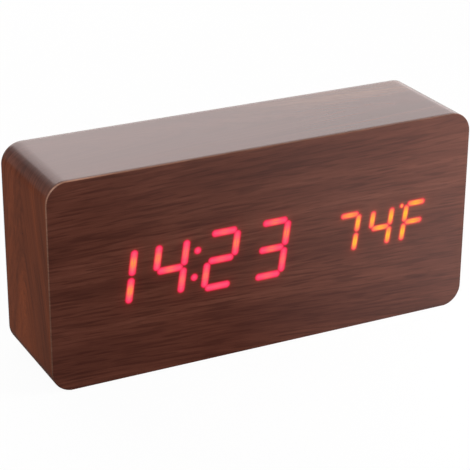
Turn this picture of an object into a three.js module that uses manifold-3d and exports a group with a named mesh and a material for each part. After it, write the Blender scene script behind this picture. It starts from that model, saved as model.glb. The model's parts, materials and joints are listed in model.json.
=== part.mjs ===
// A wooden digital alarm clock, in millimetres.
// X runs to the right seen from the front, Y to the back and Z up.
// The origin is the centre of the flat underside.
import * as THREE from "three";
import { mergeVertices } from "three/addons/utils/BufferGeometryUtils.js";
import Module from "manifold-3d";

const wasm = await Module();
wasm.setup();

// Driving dimensions

// Every cut runs past the face it opens by this much.
const overrun = 1;
// The gap left round a piece that is set into a hole or a slot.
const clearance = 0.3;

// The width follows from the display rows and their margins, and the height from the cells
// in the back, at the end of these dimensions: 150 and 70.
const shell = {
  depth: 39,
  band: 10,
  cornerRadius: 7,
  skin: 0.6,
  edgeEase: 0.6,
  wall: 6,
  innerCorner: 3,
  frontBoard: 4,
  rearBoard: 6,
};

const display = {
  drop: 0.3,
  leftMargin: 16.05,
  rowGap: 16.5,
  rightMargin: 15.74,
  slantDegrees: 8,
  lampPocket: 1,
  lampPocketRim: 2.5,
  segmentRaise: 0.8,
  blockGap: 0.3,
  blockMargin: 0.6,
};

const timeDigit = {
  lineHeight: 18.2,
  lineSpacing: 9.5,
  barWidth: 2.1,
  barEnd: 0.4,
  pitch: 17.87,
};

const colon = {
  dotRadius: 1.25,
  dotRise: 4.5,
  blockWidth: 4.8,
};

const temperatureDigit = {
  lineHeight: 12.6,
  lineSpacing: 7.1,
  barWidth: 1.5,
  barEnd: 0.3,
  pitch: 12.75,
};

const degreeDot = {
  radius: 0.8,
  offset: 5.5,
  rise: 6.2,
};

const displayBoard = {
  endGap: 1.4,
  height: 36,
  thickness: 1.6,
  screwInset: 2.8,
  lampWidth: 1.6,
  lampHeight: 0.8,
  lampThickness: 0.6,
};

const screw = {
  headRadius: 1.9,
  headThickness: 1.1,
  shankRadius: 1,
  length: 4.2,
  pilotExtra: 0.4,
  recessLength: 2.2,
  recessWidth: 0.5,
  recessDepth: 0.6,
};

const chip = {
  width: 18,
  height: 7.5,
  thickness: 2.2,
  legs: 7,
  legPitch: 2.3,
  legWidth: 0.6,
  legReach: 1.4,
  legThickness: 0.4,
  x: -6,
  rise: 6,
};

const crystal = {
  radius: 1.5,
  length: 8,
  leadRadius: 0.3,
  leadLength: 2.5,
  x: 14,
  rise: 8,
};

const capacitor = {
  radius: 3.15,
  height: 7,
  x: 26,
  rise: -6,
};

const buzzer = {
  radius: 6,
  height: 8.5,
  holeRadius: 1.2,
  holeDepth: 1.5,
  x: 50,
  rise: 4,
};

const ribbon = {
  width: 7.6,
  thickness: 0.8,
  connectorWidth: 9,
  connectorHeight: 4.6,
  connectorThickness: 4,
  displayRise: -7,
  keyRise: 0,
  socketDepth: 1.5,
};

const plate = {
  bayEnd: 6.55,
  keyEnd: 7.95,
  margin: 1.45,
  thickness: 2.2,
  cornerRadius: 3,
  inset: 0.3,
  screwInset: 3,
  counterbore: 1.3,
};

// The gaps between the battery bay and the inner opening of the rear board.
const rearOpening = {
  endGap: 0.55,
  bayGap: 0.85,
};

const cell = {
  radius: 5.25,
  length: 44.5,
  nubRadius: 1.9,
  nubLength: 0.8,
  spacing: 0.5,
};

const bay = {
  wall: 1.5,
  ribWidth: 1.2,
  ribHeight: 2,
  ribLength: 30,
};

const contact = {
  thickness: 0.5,
  height: 8,
  width: 8.4,
  tabWidth: 3,
  tabThickness: 0.5,
  tabReach: 1.2,
};

const spring = {
  wireRadius: 0.35,
  baseRadius: 3.2,
  tipRadius: 1.9,
  length: 4.6,
  turns: 3,
  stepsPerTurn: 8,
  sides: 5,
};

const door = {
  thickness: 1.8,
  ledge: 0.8,
  pinRadius: 0.5,
  pinLength: 0.9,
  gripLength: 12,
  gripWidth: 0.7,
  gripRise: 0.25,
  gripPitch: 1.7,
  gripInset: 3.2,
  grips: 4,
  notchRadius: 5,
  notchDepth: 1.2,
  notchReach: 2.4,
};

const keyBoard = {
  width: 35,
  height: 42,
  thickness: 1.6,
  gapToBay: 0.8,
  controlShift: 1.45,
  postRadius: 2.2,
  postInset: 3,
};

const button = {
  radius: 3,
  flangeRadius: 4,
  flangeThickness: 1,
  dishRadius: 4.2,
  dishDepth: 0.5,
  pitch: 10,
  rise: 11,
};

// The walled well that the three switches stand in.
const keyWell = {
  wall: 0.8,
  gap: 0.6,
};

const keySwitch = {
  width: 6,
  height: 3.5,
  plungerRadius: 1.75,
  boreDepth: 1.8,
  plungerSeat: 0.9,
};

const socket = {
  width: 9,
  bodyRise: -11,
  barrelRadius: 4.1,
  boreRadius: 3.2,
  boreDepth: 8.4,
  pinRadius: 1,
  pinRecess: 0.8,
};

const vent = {
  radius: 0.8,
  pitch: 2.6,
  holes: 5,
  rise: 1,
};

const soundSensor = {
  radius: 3,
  height: 4.4,
  offset: 9.5,
};

const thermistor = {
  beadRadius: 1.3,
  leadRadius: 0.3,
  leadGap: 1.4,
  leadLength: 3.4,
  offset: 11,
};

// Places worked out from the driving dimensions

const cellPitch = 2 * cell.radius + cell.spacing;
const cellShares = [1.5, 0.5, -0.5, -1.5];
const cellRises = cellShares.map((share) => share * cellPitch);
const bayWidth = cell.length + spring.length + 2 * contact.thickness + 2 * clearance;
const bayHeight = cellShares.length * cellPitch - cell.spacing + 2 * clearance;
const bayOuterHeight = bayHeight + 2 * bay.wall;
const plateHeight = bayOuterHeight + 2 * plate.margin;
const caseHeight = plateHeight + 2 * shell.band;
const bayOuterWidth = bayWidth + 2 * bay.wall;
const plateWidth = plate.bayEnd + bayOuterWidth + keyBoard.gapToBay + keyBoard.width + plate.keyEnd;
const bayCentre = plateWidth / 2 - plate.bayEnd - bayOuterWidth / 2;

const timeDigits = 4;
const temperatureDigits = 3;
const timeReach = reachOf(timeDigit);
const temperatureReach = reachOf(temperatureDigit);
const timeRowWidth = (timeDigits - 1) * timeDigit.pitch + 2 * timeReach;
const temperatureRowWidth = (temperatureDigits - 1) * temperatureDigit.pitch + 2 * temperatureReach;
const rowsWidth = timeRowWidth + display.rowGap + temperatureRowWidth;
const caseWidth = display.leftMargin + rowsWidth + display.rightMargin;
const timeLeft = display.leftMargin - caseWidth / 2;
const temperatureLeft = timeLeft + timeRowWidth + display.rowGap;
const timeCentres = centresOf(timeLeft + timeReach, timeDigit.pitch, timeDigits);
const temperatureCentres = centresOf(
  temperatureLeft + temperatureReach,
  temperatureDigit.pitch,
  temperatureDigits,
);
const colonCentre = (timeCentres[1] + timeCentres[2]) / 2;

// From a digit's centre to the edge of its block.
function reachOf(digit) {
  return digit.lineSpacing / 2 + digit.barWidth / 2 + display.blockMargin;
}

function centresOf(first, pitch, count) {
  return Array.from({ length: count }, (_, i) => first + i * pitch);
}

const displayCentre = caseHeight / 2 - display.drop;
const displayBoardWidth = caseWidth - 2 * (shell.skin + shell.wall + displayBoard.endGap);
const frontFace = -shell.depth / 2;
const backFace = shell.depth / 2;
const middle = caseHeight / 2;
const frontBoardFront = frontFace + shell.skin;
const frontBoardBack = frontBoardFront + shell.frontBoard;
const rearBoardBack = backFace - shell.skin;
const rearBoardFront = rearBoardBack - shell.rearBoard;
const guideBack = frontBoardBack - display.lampPocket;
const displayBoardBack = frontBoardBack + displayBoard.thickness;
const slant = Math.tan(THREE.MathUtils.degToRad(display.slantDegrees));
const screwHole = screw.shankRadius + clearance;

const plateBack = backFace - plate.inset;
const plateFront = plateBack - plate.thickness;
const doorFront = plateBack - door.thickness;
const cellCentreY = doorFront - clearance - cell.radius;
const bayFloor = cellCentreY - cell.radius - clearance;
const bayLeft = bayCentre - bayWidth / 2;
const bayRight = bayCentre + bayWidth / 2;
const doorWidth = bayWidth + 2 * door.ledge;
const doorHeight = bayHeight + 2 * door.ledge;
const doorRoll = door.thickness / 2;
const hingeX = bayCentre + doorWidth / 2 - doorRoll;
const hingeY = plateBack - doorRoll;

const capBack = backFace;
const capFlangeBack = plateFront - clearance;
const capFront = capFlangeBack - button.flangeThickness;
const keyBoardBack = capFront - keySwitch.height - 2 * keySwitch.plungerSeat - clearance;
const keyBoardFront = keyBoardBack - keyBoard.thickness;
const keyBoardX = bayLeft - bay.wall - keyBoard.gapToBay - keyBoard.width / 2;
const buttonNames = ["set", "up", "down"];
const controlX = keyBoardX - keyBoard.controlShift;
const buttonXs = [-1, 0, 1].map((step) => controlX - step * button.pitch);

// Solids and their joins

const cornerSteps = 4;
const roundSides = 14;

// A closed geometry as a solid that can be joined and cut.
function solidOf(geometry) {
  const bare = geometry.index ? geometry.toNonIndexed() : geometry.clone();
  bare.deleteAttribute("normal");
  bare.deleteAttribute("uv");
  const merged = mergeVertices(bare);
  return new wasm.Manifold(
    new wasm.Mesh({
      numProp: 3,
      vertProperties: merged.attributes.position.array,
      triVerts: new Uint32Array(merged.index.array),
    }),
  );
}

// A solid as a geometry again.
function geometryOf(solid) {
  const mesh = solid.getMesh();
  const geometry = new THREE.BufferGeometry();
  geometry.setAttribute("position", new THREE.BufferAttribute(mesh.vertProperties, 3));
  geometry.setIndex(new THREE.BufferAttribute(mesh.triVerts, 1));
  geometry.computeVertexNormals();
  return geometry;
}

function fuse(...geometries) {
  return geometryOf(geometries.map(solidOf).reduce((whole, next) => whole.add(next)));
}

function cut(geometry, ...tools) {
  return geometryOf(tools.map(solidOf).reduce((left, tool) => left.subtract(tool), solidOf(geometry)));
}

// A box between two opposite corners.
function block([x0, y0, z0], [x1, y1, z1]) {
  const geometry = new THREE.BoxGeometry(x1 - x0, y1 - y0, z1 - z0);
  return geometry.translate((x0 + x1) / 2, (y0 + y1) / 2, (z0 + z1) / 2);
}

// A round bar along Y, between two depths.
function rodY(radius, y0, y1, x = 0, z = 0, sides = roundSides) {
  const geometry = new THREE.CylinderGeometry(radius, radius, y1 - y0, sides);
  return geometry.translate(x, (y0 + y1) / 2, z);
}

// A round bar along X, between two places.
function rodX(radius, x0, x1, y = 0, z = 0, sides = roundSides) {
  const geometry = new THREE.CylinderGeometry(radius, radius, x1 - x0, sides);
  return geometry.rotateZ(Math.PI / 2).translate((x0 + x1) / 2, y, z);
}

// A round bar along Z, between two heights.
function rodZ(radius, z0, z1, x = 0, y = 0, sides = roundSides) {
  const geometry = new THREE.CylinderGeometry(radius, radius, z1 - z0, sides);
  return geometry.rotateX(Math.PI / 2).translate(x, y, (z0 + z1) / 2);
}

// A rectangle with round corners, centred on zero.
function roundedOutline(width, height, radius) {
  const x = width / 2 - radius;
  const z = height / 2 - radius;
  const quarter = Math.PI / 2;
  const outline = new THREE.Shape();
  outline.absarc(x, z, radius, 0, quarter);
  outline.absarc(-x, z, radius, quarter, 2 * quarter);
  outline.absarc(-x, -z, radius, 2 * quarter, 3 * quarter);
  outline.absarc(x, -z, radius, 3 * quarter, 4 * quarter);
  return outline;
}

function outlineOf(points) {
  return new THREE.Shape(points.map(([x, z]) => new THREE.Vector2(x, z)));
}

// An outline drawn in X and Z, made solid between two depths.
function slab(outline, y0, y1) {
  const options = { depth: y1 - y0, bevelEnabled: false, curveSegments: cornerSteps };
  return new THREE.ExtrudeGeometry(outline, options).rotateX(Math.PI / 2).translate(0, y1, 0);
}

// Rings of equally many points, joined in order and closed at both ends with fans.
function loft(rings) {
  const count = rings[0].length;
  const indices = [];
  rings.slice(1).forEach((ring, row) => {
    ring.forEach((point, i) => {
      const next = (i + 1) % count;
      const a = row * count + i;
      const b = row * count + next;
      indices.push(a, b, b + count, a, b + count, a + count);
    });
  });
  const last = (rings.length - 1) * count;
  for (let i = 1; i < count - 1; i += 1) {
    indices.push(0, i + 1, i);
    indices.push(last, last + i, last + i + 1);
  }
  const geometry = new THREE.BufferGeometry();
  geometry.setAttribute("position", new THREE.Float32BufferAttribute(rings.flat(2), 3));
  geometry.setIndex(indices);
  geometry.computeVertexNormals();
  return geometry;
}

// One piece, with a finish of its own.
function piece(name, geometry, colour, roughness = 0.6, metalness = 0) {
  const material = new THREE.MeshStandardMaterial({ color: colour, roughness, metalness });
  const mesh = new THREE.Mesh(geometry, material);
  mesh.name = name;
  return mesh;
}

const walnut = 0x5a382c;
const fibreboard = 0x9a7450;
const blackPlastic = 0x1c1c1e;
const darkPlastic = 0x2a2a2c;
const lightGuide = 0xd8d0d0;
const boardGreen = 0x1f5a3a;
const steel = 0xb9bcc0;
const whitePlastic = 0xe8e6df;

// The wooden case

const boardWidth = caseWidth - 2 * shell.skin;
const boardHeight = caseHeight - 2 * shell.skin;
const boardRadius = shell.cornerRadius - shell.skin;

function boardOutline() {
  return roundedOutline(boardWidth, boardHeight, boardRadius);
}

// The skin over an end of the case: full size at its board and eased to its outer face.
function facing() {
  const easeSteps = 3;
  const rings = [];
  for (let step = 0; step <= easeSteps; step += 1) {
    const turn = ((easeSteps - step) / easeSteps) * (Math.PI / 2);
    const inset = shell.edgeEase * (1 - Math.sin(turn));
    const y = -shell.skin * Math.cos(turn);
    const outline = roundedOutline(
      caseWidth - 2 * inset,
      caseHeight - 2 * inset,
      shell.cornerRadius - inset,
    );
    rings.push(outline.extractPoints(cornerSteps).shape.map((p) => [p.x, y, p.y]));
  }
  return loft(rings);
}

function wrapVeneer() {
  const outline = roundedOutline(caseWidth, caseHeight, shell.cornerRadius);
  outline.holes.push(boardOutline());
  return piece("wrap_veneer", slab(outline, frontBoardFront, rearBoardBack), walnut, 0.45);
}

function caseFrame() {
  const outline = boardOutline();
  const inner = roundedOutline(
    boardWidth - 2 * shell.wall,
    boardHeight - 2 * shell.wall,
    shell.innerCorner,
  );
  outline.holes.push(inner);
  return piece("case_frame", slab(outline, frontBoardBack, rearBoardFront), fibreboard, 0.9);
}

function frontVeneer() {
  return piece("front_veneer", facing().translate(0, frontBoardFront, 0), walnut, 0.45);
}

function rearVeneer() {
  const skin = facing().rotateZ(Math.PI).translate(0, rearBoardBack, 0);
  const opening = plateOutline(clearance);
  const tool = slab(opening, rearBoardBack - overrun, backFace + overrun);
  return piece("rear_veneer", cut(skin, tool), walnut, 0.45);
}

function frontPanel() {
  const board = slab(boardOutline(), frontBoardFront, frontBoardBack);
  const pocketHeight = timeDigit.lineHeight + 2 * display.lampPocketRim + 2 * display.blockMargin;
  const pocketHalf = displayBoardWidth / 2 - 2 * displayBoard.screwInset;
  const pocket = block(
    [-pocketHalf, guideBack, displayCentre - middle - pocketHeight / 2],
    [pocketHalf, frontBoardBack + overrun, displayCentre - middle + pocketHeight / 2],
  );
  const windowOutlines = [
    windowOutline(timeLeft, timeRowWidth, timeDigit),
    windowOutline(temperatureLeft, temperatureRowWidth, temperatureDigit),
  ];
  const windows = windowOutlines.map((outline) =>
    slab(outline, frontBoardFront - overrun, guideBack + overrun).translate(
      0,
      0,
      displayCentre - middle,
    ),
  );
  const depth = screw.length - displayBoard.thickness + screw.pilotExtra;
  const holes = displayScrewPlaces.map(([x, z]) =>
    rodY(screwHole, frontBoardBack - depth, frontBoardBack + overrun, x, z - middle),
  );
  return piece("front_panel", cut(board, pocket, ...windows, ...holes), fibreboard, 0.9);
}

function rearPanel() {
  const board = slab(boardOutline(), rearBoardFront, rearBoardBack);
  const seat = slab(plateOutline(clearance), plateFront, rearBoardBack + overrun);
  const openingHalf = bayRight + bay.wall + rearOpening.endGap;
  const opening = block(
    [-openingHalf, rearBoardFront - overrun, -bayOuterHeight / 2 - rearOpening.bayGap],
    [openingHalf, plateFront + overrun, bayOuterHeight / 2 + rearOpening.bayGap],
  );
  const depth = screw.length - plate.thickness + plate.counterbore + screw.pilotExtra;
  const holes = plateScrewPlaces.map(([x, z]) =>
    rodY(screwHole, plateFront - depth, plateFront + overrun, x, z),
  );
  return piece("rear_panel", cut(board, seat, opening, ...holes), fibreboard, 0.9);
}

// The light guides

// The outline of a leaning block between two places at mid height.
function leaningOutline(left, right, halfHeight) {
  const lean = slant * halfHeight;
  return outlineOf([
    [left - lean, -halfHeight],
    [right - lean, -halfHeight],
    [right + lean, halfHeight],
    [left + lean, halfHeight],
  ]);
}

function leaned([x, z]) {
  return [x + slant * z, z];
}

// The seven bars of a digit: centre, half length and whether a bar stands up.
function barsOf(digit) {
  const x = digit.lineSpacing / 2;
  const z = digit.lineHeight / 4;
  const flat = digit.lineSpacing / 2 - digit.barEnd;
  const upright = digit.lineHeight / 4 - digit.barEnd;
  return [
    { name: "a", centre: [0, 2 * z], half: flat, stands: false },
    { name: "b", centre: [x, z], half: upright, stands: true },
    { name: "c", centre: [x, -z], half: upright, stands: true },
    { name: "d", centre: [0, -2 * z], half: flat, stands: false },
    { name: "e", centre: [-x, -z], half: upright, stands: true },
    { name: "f", centre: [-x, z], half: upright, stands: true },
    { name: "g", centre: [0, 0], half: flat, stands: false },
  ];
}

// A bar has a point at each end, so that neighbours meet at a mitre.
function barOutline(bar, digit, digitX) {
  const w = digit.barWidth / 2;
  const tip = bar.half;
  const shoulder = bar.half - w;
  const along = [
    [tip, 0],
    [shoulder, w],
    [-shoulder, w],
    [-tip, 0],
    [-shoulder, -w],
    [shoulder, -w],
  ];
  const points = along.map(([u, v]) => {
    const [dx, dz] = bar.stands ? [-v, u] : [u, v];
    return leaned([bar.centre[0] + dx, bar.centre[1] + dz]);
  });
  return outlineOf(points.map(([x, z]) => [x + digitX, z]));
}

function halfHeightOf(digit) {
  return digit.lineHeight / 2 + digit.barWidth / 2 + display.blockMargin;
}

function between(a, b) {
  return (a + b) / 2;
}

// The window that a row of blocks is set into.
function windowOutline(left, width, digit) {
  return leaningOutline(left - clearance, left + width + clearance, halfHeightOf(digit) + clearance);
}

// A block behind the veneer with its bars and dots standing out to the front.
function lightBlock(name, left, right, digit, digitX, dots = []) {
  const body = slab(
    leaningOutline(left + display.blockGap / 2, right - display.blockGap / 2, halfHeightOf(digit)),
    frontBoardFront + display.segmentRaise,
    guideBack,
  );
  const bars = digitX === null ? [] : barsOf(digit).map((bar) => barOutline(bar, digit, digitX));
  const rods = dots.map(({ x, z, radius }) => rodY(radius, frontBoardFront, guideBack, x, z));
  const raised = bars.map((outline) => slab(outline, frontBoardFront, guideBack));
  return piece(name, fuse(body, ...raised, ...rods), lightGuide, 0.5);
}

function temperatureBlock(name, left, right, digitX, dots = []) {
  return lightBlock(name, left, right, temperatureDigit, digitX, dots);
}

function colonDots() {
  return [1, -1].map((side) => {
    const [x, z] = leaned([0, side * colon.dotRise]);
    return { x: x + colonCentre, z, radius: colon.dotRadius };
  });
}

function degreeDots() {
  const [x, z] = leaned([-degreeDot.offset, degreeDot.rise]);
  return [{ x: x + temperatureCentres[2], z, radius: degreeDot.radius }];
}

function lightGuides() {
  const time = timeCentres;
  const temperature = temperatureCentres;
  const right = timeLeft + timeRowWidth;
  const warmRight = temperatureLeft + temperatureRowWidth;
  const firstSplit = between(time[0], time[1]);
  const lastSplit = between(time[2], time[3]);
  const colonLeft = colonCentre - colon.blockWidth / 2;
  const colonRight = colonCentre + colon.blockWidth / 2;
  const warmSplit = between(temperature[0], temperature[1]);
  const unitLeft = temperature[2] - degreeDot.offset - 2 * degreeDot.radius;
  const group = new THREE.Group();
  group.position.z = displayCentre;
  group.add(
    lightBlock("hour_tens_light_guide", timeLeft, firstSplit, timeDigit, time[0]),
    lightBlock("hour_ones_light_guide", firstSplit, colonLeft, timeDigit, time[1]),
    lightBlock("colon_light_guide", colonLeft, colonRight, timeDigit, null, colonDots()),
    lightBlock("minute_tens_light_guide", colonRight, lastSplit, timeDigit, time[2]),
    lightBlock("minute_ones_light_guide", lastSplit, right, timeDigit, time[3]),
    temperatureBlock("temperature_tens_light_guide", temperatureLeft, warmSplit, temperature[0]),
    temperatureBlock("temperature_ones_light_guide", warmSplit, unitLeft, temperature[1]),
    temperatureBlock("unit_light_guide", unitLeft, warmRight, temperature[2], degreeDots()),
  );
  return group;
}

// The display board and what it carries

const displayScrewPlaces = [-1, 1].flatMap((sideX) =>
  [-1, 1].map((sideZ) => [
    sideX * (displayBoardWidth / 2 - displayBoard.screwInset),
    displayCentre + sideZ * (displayBoard.height / 2 - displayBoard.screwInset),
  ]),
);

const plateScrewPlaces = [-1, 1].flatMap((sideX) =>
  [-1, 1].map((sideZ) => [
    sideX * (plateWidth / 2 - plate.screwInset),
    sideZ * (plateHeight / 2 - 2 * plate.screwInset),
  ]),
);

// The lamp places: one behind each bar and dot.
function lampPlaces() {
  const ofRow = (digit, centres) =>
    centres.flatMap((digitX) =>
      barsOf(digit).map((bar) => {
        const [x, z] = leaned(bar.centre);
        return [x + digitX, z];
      }),
    );
  const dots = [...colonDots(), ...degreeDots()].map(({ x, z }) => [x, z]);
  return [...ofRow(timeDigit, timeCentres), ...ofRow(temperatureDigit, temperatureCentres), ...dots];
}

function displayBoardPiece() {
  const low = displayCentre - displayBoard.height / 2;
  const sheet = block(
    [-displayBoardWidth / 2, frontBoardBack, low],
    [displayBoardWidth / 2, displayBoardBack, low + displayBoard.height],
  );
  const lamps = lampPlaces().map(([x, z]) =>
    block(
      [
        x - displayBoard.lampWidth / 2,
        frontBoardBack - displayBoard.lampThickness,
        displayCentre + z - displayBoard.lampHeight / 2,
      ],
      [
        x + displayBoard.lampWidth / 2,
        frontBoardBack + displayBoard.thickness / 2,
        displayCentre + z + displayBoard.lampHeight / 2,
      ],
    ),
  );
  const holes = displayScrewPlaces.map(([x, z]) =>
    rodY(screwHole, frontBoardBack - overrun, displayBoardBack + overrun, x, z),
  );
  return piece("display_board", cut(fuse(sheet, ...lamps), ...holes), boardGreen, 0.5);
}

// A pan-head screw with its head towards the back and its seat at zero.
function screwShape() {
  const head = rodY(screw.headRadius, 0, screw.headThickness);
  const shank = rodY(screw.shankRadius, -screw.length, screw.headThickness / 2);
  const bottom = screw.headThickness - screw.recessDepth;
  const long = screw.recessLength / 2;
  const thin = screw.recessWidth / 2;
  const top = screw.headThickness + overrun;
  const slotX = block([-long, bottom, -thin], [long, top, thin]);
  const slotZ = block([-thin, bottom, -long], [thin, top, long]);
  return cut(fuse(head, shank), slotX, slotZ);
}

function displayScrews() {
  return displayScrewPlaces.map(([x, z], i) => {
    const mesh = piece(`display_screw_${i + 1}`, screwShape(), steel, 0.35, 0.9);
    mesh.position.set(x, displayBoardBack, z);
    return mesh;
  });
}

function controlChip() {
  const w = chip.width / 2;
  const h = chip.height / 2;
  const body = block([-w, 0, -h], [w, chip.thickness, h]);
  const legs = Array.from({ length: chip.legs }, (_, i) => {
    const x = (i - (chip.legs - 1) / 2) * chip.legPitch;
    const reach = h + chip.legReach;
    return block(
      [x - chip.legWidth / 2, 0, -reach],
      [x + chip.legWidth / 2, chip.legThickness, reach],
    );
  });
  const mesh = piece("control_chip", fuse(body, ...legs), darkPlastic, 0.5);
  mesh.position.set(chip.x, displayBoardBack, displayCentre + chip.rise);
  return mesh;
}

function rtcCrystal() {
  const can = rodX(crystal.radius, 0, crystal.length, crystal.radius);
  const leads = [-1, 1].map((side) =>
    rodX(
      crystal.leadRadius,
      -crystal.leadLength,
      crystal.leadRadius,
      crystal.radius,
      (side * crystal.radius) / 2,
      6,
    ),
  );
  const mesh = piece("rtc_crystal", fuse(can, ...leads), steel, 0.3, 0.9);
  mesh.position.set(crystal.x, displayBoardBack, displayCentre + crystal.rise);
  return mesh;
}

function filterCapacitor() {
  const mesh = piece("filter_capacitor", rodY(capacitor.radius, 0, capacitor.height), 0x23304a, 0.4);
  mesh.position.set(capacitor.x, displayBoardBack, displayCentre + capacitor.rise);
  return mesh;
}

function buzzerPiece() {
  const can = rodY(buzzer.radius, 0, buzzer.height);
  const mouth = rodY(buzzer.holeRadius, buzzer.height - buzzer.holeDepth, buzzer.height + overrun);
  const mesh = piece("buzzer", cut(can, mouth), darkPlastic, 0.5);
  mesh.position.set(buzzer.x, displayBoardBack, displayCentre + buzzer.rise);
  return mesh;
}

// The link between the boards

// A shell with a slot for the ribbon in its mouth, which faces along +Y.
function connectorShape() {
  const w = ribbon.connectorWidth / 2;
  const h = ribbon.connectorHeight / 2;
  const slotW = ribbon.width / 2 + clearance;
  const slotH = ribbon.thickness / 2 + clearance;
  const depth = ribbon.connectorThickness;
  const body = block([-w, 0, -h], [w, depth, h]);
  const mouth = block([-slotW, depth - ribbon.socketDepth, -slotH], [slotW, depth + overrun, slotH]);
  return cut(body, mouth);
}

function displayConnector() {
  const mesh = piece("display_connector", connectorShape(), whitePlastic, 0.5);
  mesh.position.set(controlX, displayBoardBack, displayCentre + ribbon.displayRise);
  return mesh;
}

function keyConnector() {
  const mesh = piece("key_connector", connectorShape().rotateX(Math.PI), whitePlastic, 0.5);
  mesh.position.set(controlX, keyBoardFront, middle + ribbon.keyRise);
  return mesh;
}

// A flat lead that leaves both connectors squarely and bends gently between them.
function ribbonLead() {
  const inset = ribbon.connectorThickness - ribbon.socketDepth + clearance;
  const start = new THREE.Vector2(displayBoardBack + inset, displayCentre + ribbon.displayRise);
  const end = new THREE.Vector2(keyBoardFront - inset, middle + ribbon.keyRise);
  const pull = (end.x - start.x) / 2;
  const route = new THREE.CubicBezierCurve(
    start,
    new THREE.Vector2(start.x + pull, start.y),
    new THREE.Vector2(end.x - pull, end.y),
    end,
  );
  const steps = 14;
  const side = (sign) =>
    Array.from({ length: steps + 1 }, (_, i) => {
      const share = i / steps;
      const point = route.getPoint(share);
      const along = route.getTangent(share);
      const off = (sign * ribbon.thickness) / 2;
      return new THREE.Vector2(point.x - along.y * off, point.y + along.x * off);
    });
  const outline = new THREE.Shape([...side(-1), ...side(1).reverse()]);
  const options = { depth: ribbon.width, bevelEnabled: false };
  const lead = new THREE.ExtrudeGeometry(outline, options);
  // The outline was drawn in Y and Z, so its axes are turned into place.
  lead.applyMatrix4(new THREE.Matrix4().set(0, 0, 1, 0, 1, 0, 0, 0, 0, 1, 0, 0, 0, 0, 0, 1));
  lead.translate(controlX - ribbon.width / 2, 0, 0);
  return piece("ribbon_lead", lead, 0x9a9a98, 0.6);
}

// The rear housing, with its battery bay and posts

function plateOutline(grow) {
  return roundedOutline(
    plateWidth + 2 * grow,
    plateHeight + 2 * grow,
    plate.cornerRadius + grow,
  );
}

const postPlaces = [
  [keyBoardX - keyBoard.width / 2 + keyBoard.postInset, keyBoard.height / 2 - keyBoard.postInset],
  [keyBoardX + keyBoard.width / 2 - keyBoard.postInset, -keyBoard.height / 4],
];

function housingCuts() {
  const floor = bayFloor;
  const halfBay = bayHeight / 2;
  const bore = screw.length - keyBoard.thickness + screw.pilotExtra;
  const seatWidth = doorWidth / 2 + clearance;
  const seatHeight = doorHeight / 2 + clearance;
  const pinReach = doorHeight / 2 + door.pinLength + clearance;
  const counterboreFront = plateBack - plate.counterbore;
  const doorLeft = bayCentre - doorWidth / 2;
  return [
    block([bayLeft, floor, -halfBay], [bayRight, plateBack + overrun, halfBay]),
    block(
      [bayCentre - seatWidth, doorFront - clearance, -seatHeight],
      [bayCentre + seatWidth, plateBack + overrun, seatHeight],
    ),
    rodZ(door.pinRadius + clearance, -pinReach, pinReach, hingeX, hingeY, 10),
    rodY(
      door.notchRadius,
      plateBack - door.notchDepth,
      plateBack + overrun,
      doorLeft + door.notchRadius - door.notchReach - clearance,
      0,
      20,
    ),
    keyWellBlock(0, keyBoardBack - overrun, plateFront),
    ...postPlaces.map(([x, z]) => rodY(screwHole, keyBoardBack - overrun, keyBoardBack + bore, x, z, 10)),
    ...plateScrewPlaces.flatMap(([x, z]) => [
      rodY(screwHole, plateFront - overrun, plateBack, x, z),
      rodY(screw.headRadius + clearance, counterboreFront, plateBack + overrun, x, z),
    ]),
    ...buttonXs.flatMap((x) => [
      rodY(button.radius + clearance, plateFront - overrun, plateBack, x, button.rise, 20),
      rodY(button.dishRadius, plateBack - button.dishDepth, plateBack + overrun, x, button.rise, 20),
    ]),
    rodY(
      socket.barrelRadius + clearance,
      plateFront - overrun,
      plateBack + overrun,
      controlX,
      socket.bodyRise,
      20,
    ),
    ...ventPlaces().map(([x, z]) => rodY(vent.radius, plateFront - overrun, plateBack + overrun, x, z, 8)),
    ...terminalSlots(),
  ];
}

// A row of small holes in front of each sensor.
function ventPlaces() {
  const row = Array.from({ length: vent.holes }, (_, i) => (i - (vent.holes - 1) / 2) * vent.pitch);
  return row.map((x) => [controlX + x, vent.rise]);
}

function terminalRises() {
  return [cellRises[0], cellRises[3]];
}

function terminalSlots() {
  const half = contact.tabWidth / 2 + clearance;
  return terminalRises().map((rise) =>
    block(
      [bayLeft - bay.wall - overrun, keyBoardBack - clearance, rise - half],
      [bayLeft + overrun, keyBoardBack + contact.tabThickness + clearance, rise + half],
    ),
  );
}

// The block round the three switches, with a wall of a given thickness.
function keyWellBlock(wall, y0, y1) {
  const height = button.flangeRadius + keyWell.gap + wall;
  const width = height + button.pitch;
  return block(
    [controlX - width, y0, button.rise - height],
    [controlX + width, y1, button.rise + height],
  );
}

function rearHousing() {
  const sheet = slab(plateOutline(0), plateFront, plateBack);
  const bayOuter = block(
    [bayLeft - bay.wall, bayFloor - bay.wall, -bayHeight / 2 - bay.wall],
    [bayRight + bay.wall, between(plateFront, plateBack), bayHeight / 2 + bay.wall],
  );
  const posts = postPlaces.map(([x, z]) =>
    rodY(keyBoard.postRadius, keyBoardBack, between(plateFront, plateBack), x, z),
  );
  const well = keyWellBlock(keyWell.wall, keyBoardBack + clearance, between(plateFront, plateBack));
  const opened = cut(fuse(sheet, bayOuter, well, ...posts), ...housingCuts());
  const ribs = [-1, 0, 1].map((step) =>
    block(
      [
        bayCentre - bay.ribLength / 2,
        bayFloor - bay.wall / 2,
        step * cellPitch - bay.ribWidth / 2,
      ],
      [
        bayCentre + bay.ribLength / 2,
        bayFloor + bay.ribHeight,
        step * cellPitch + bay.ribWidth / 2,
      ],
    ),
  );
  return piece("rear_housing", fuse(opened, ...ribs), blackPlastic, 0.55);
}

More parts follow.
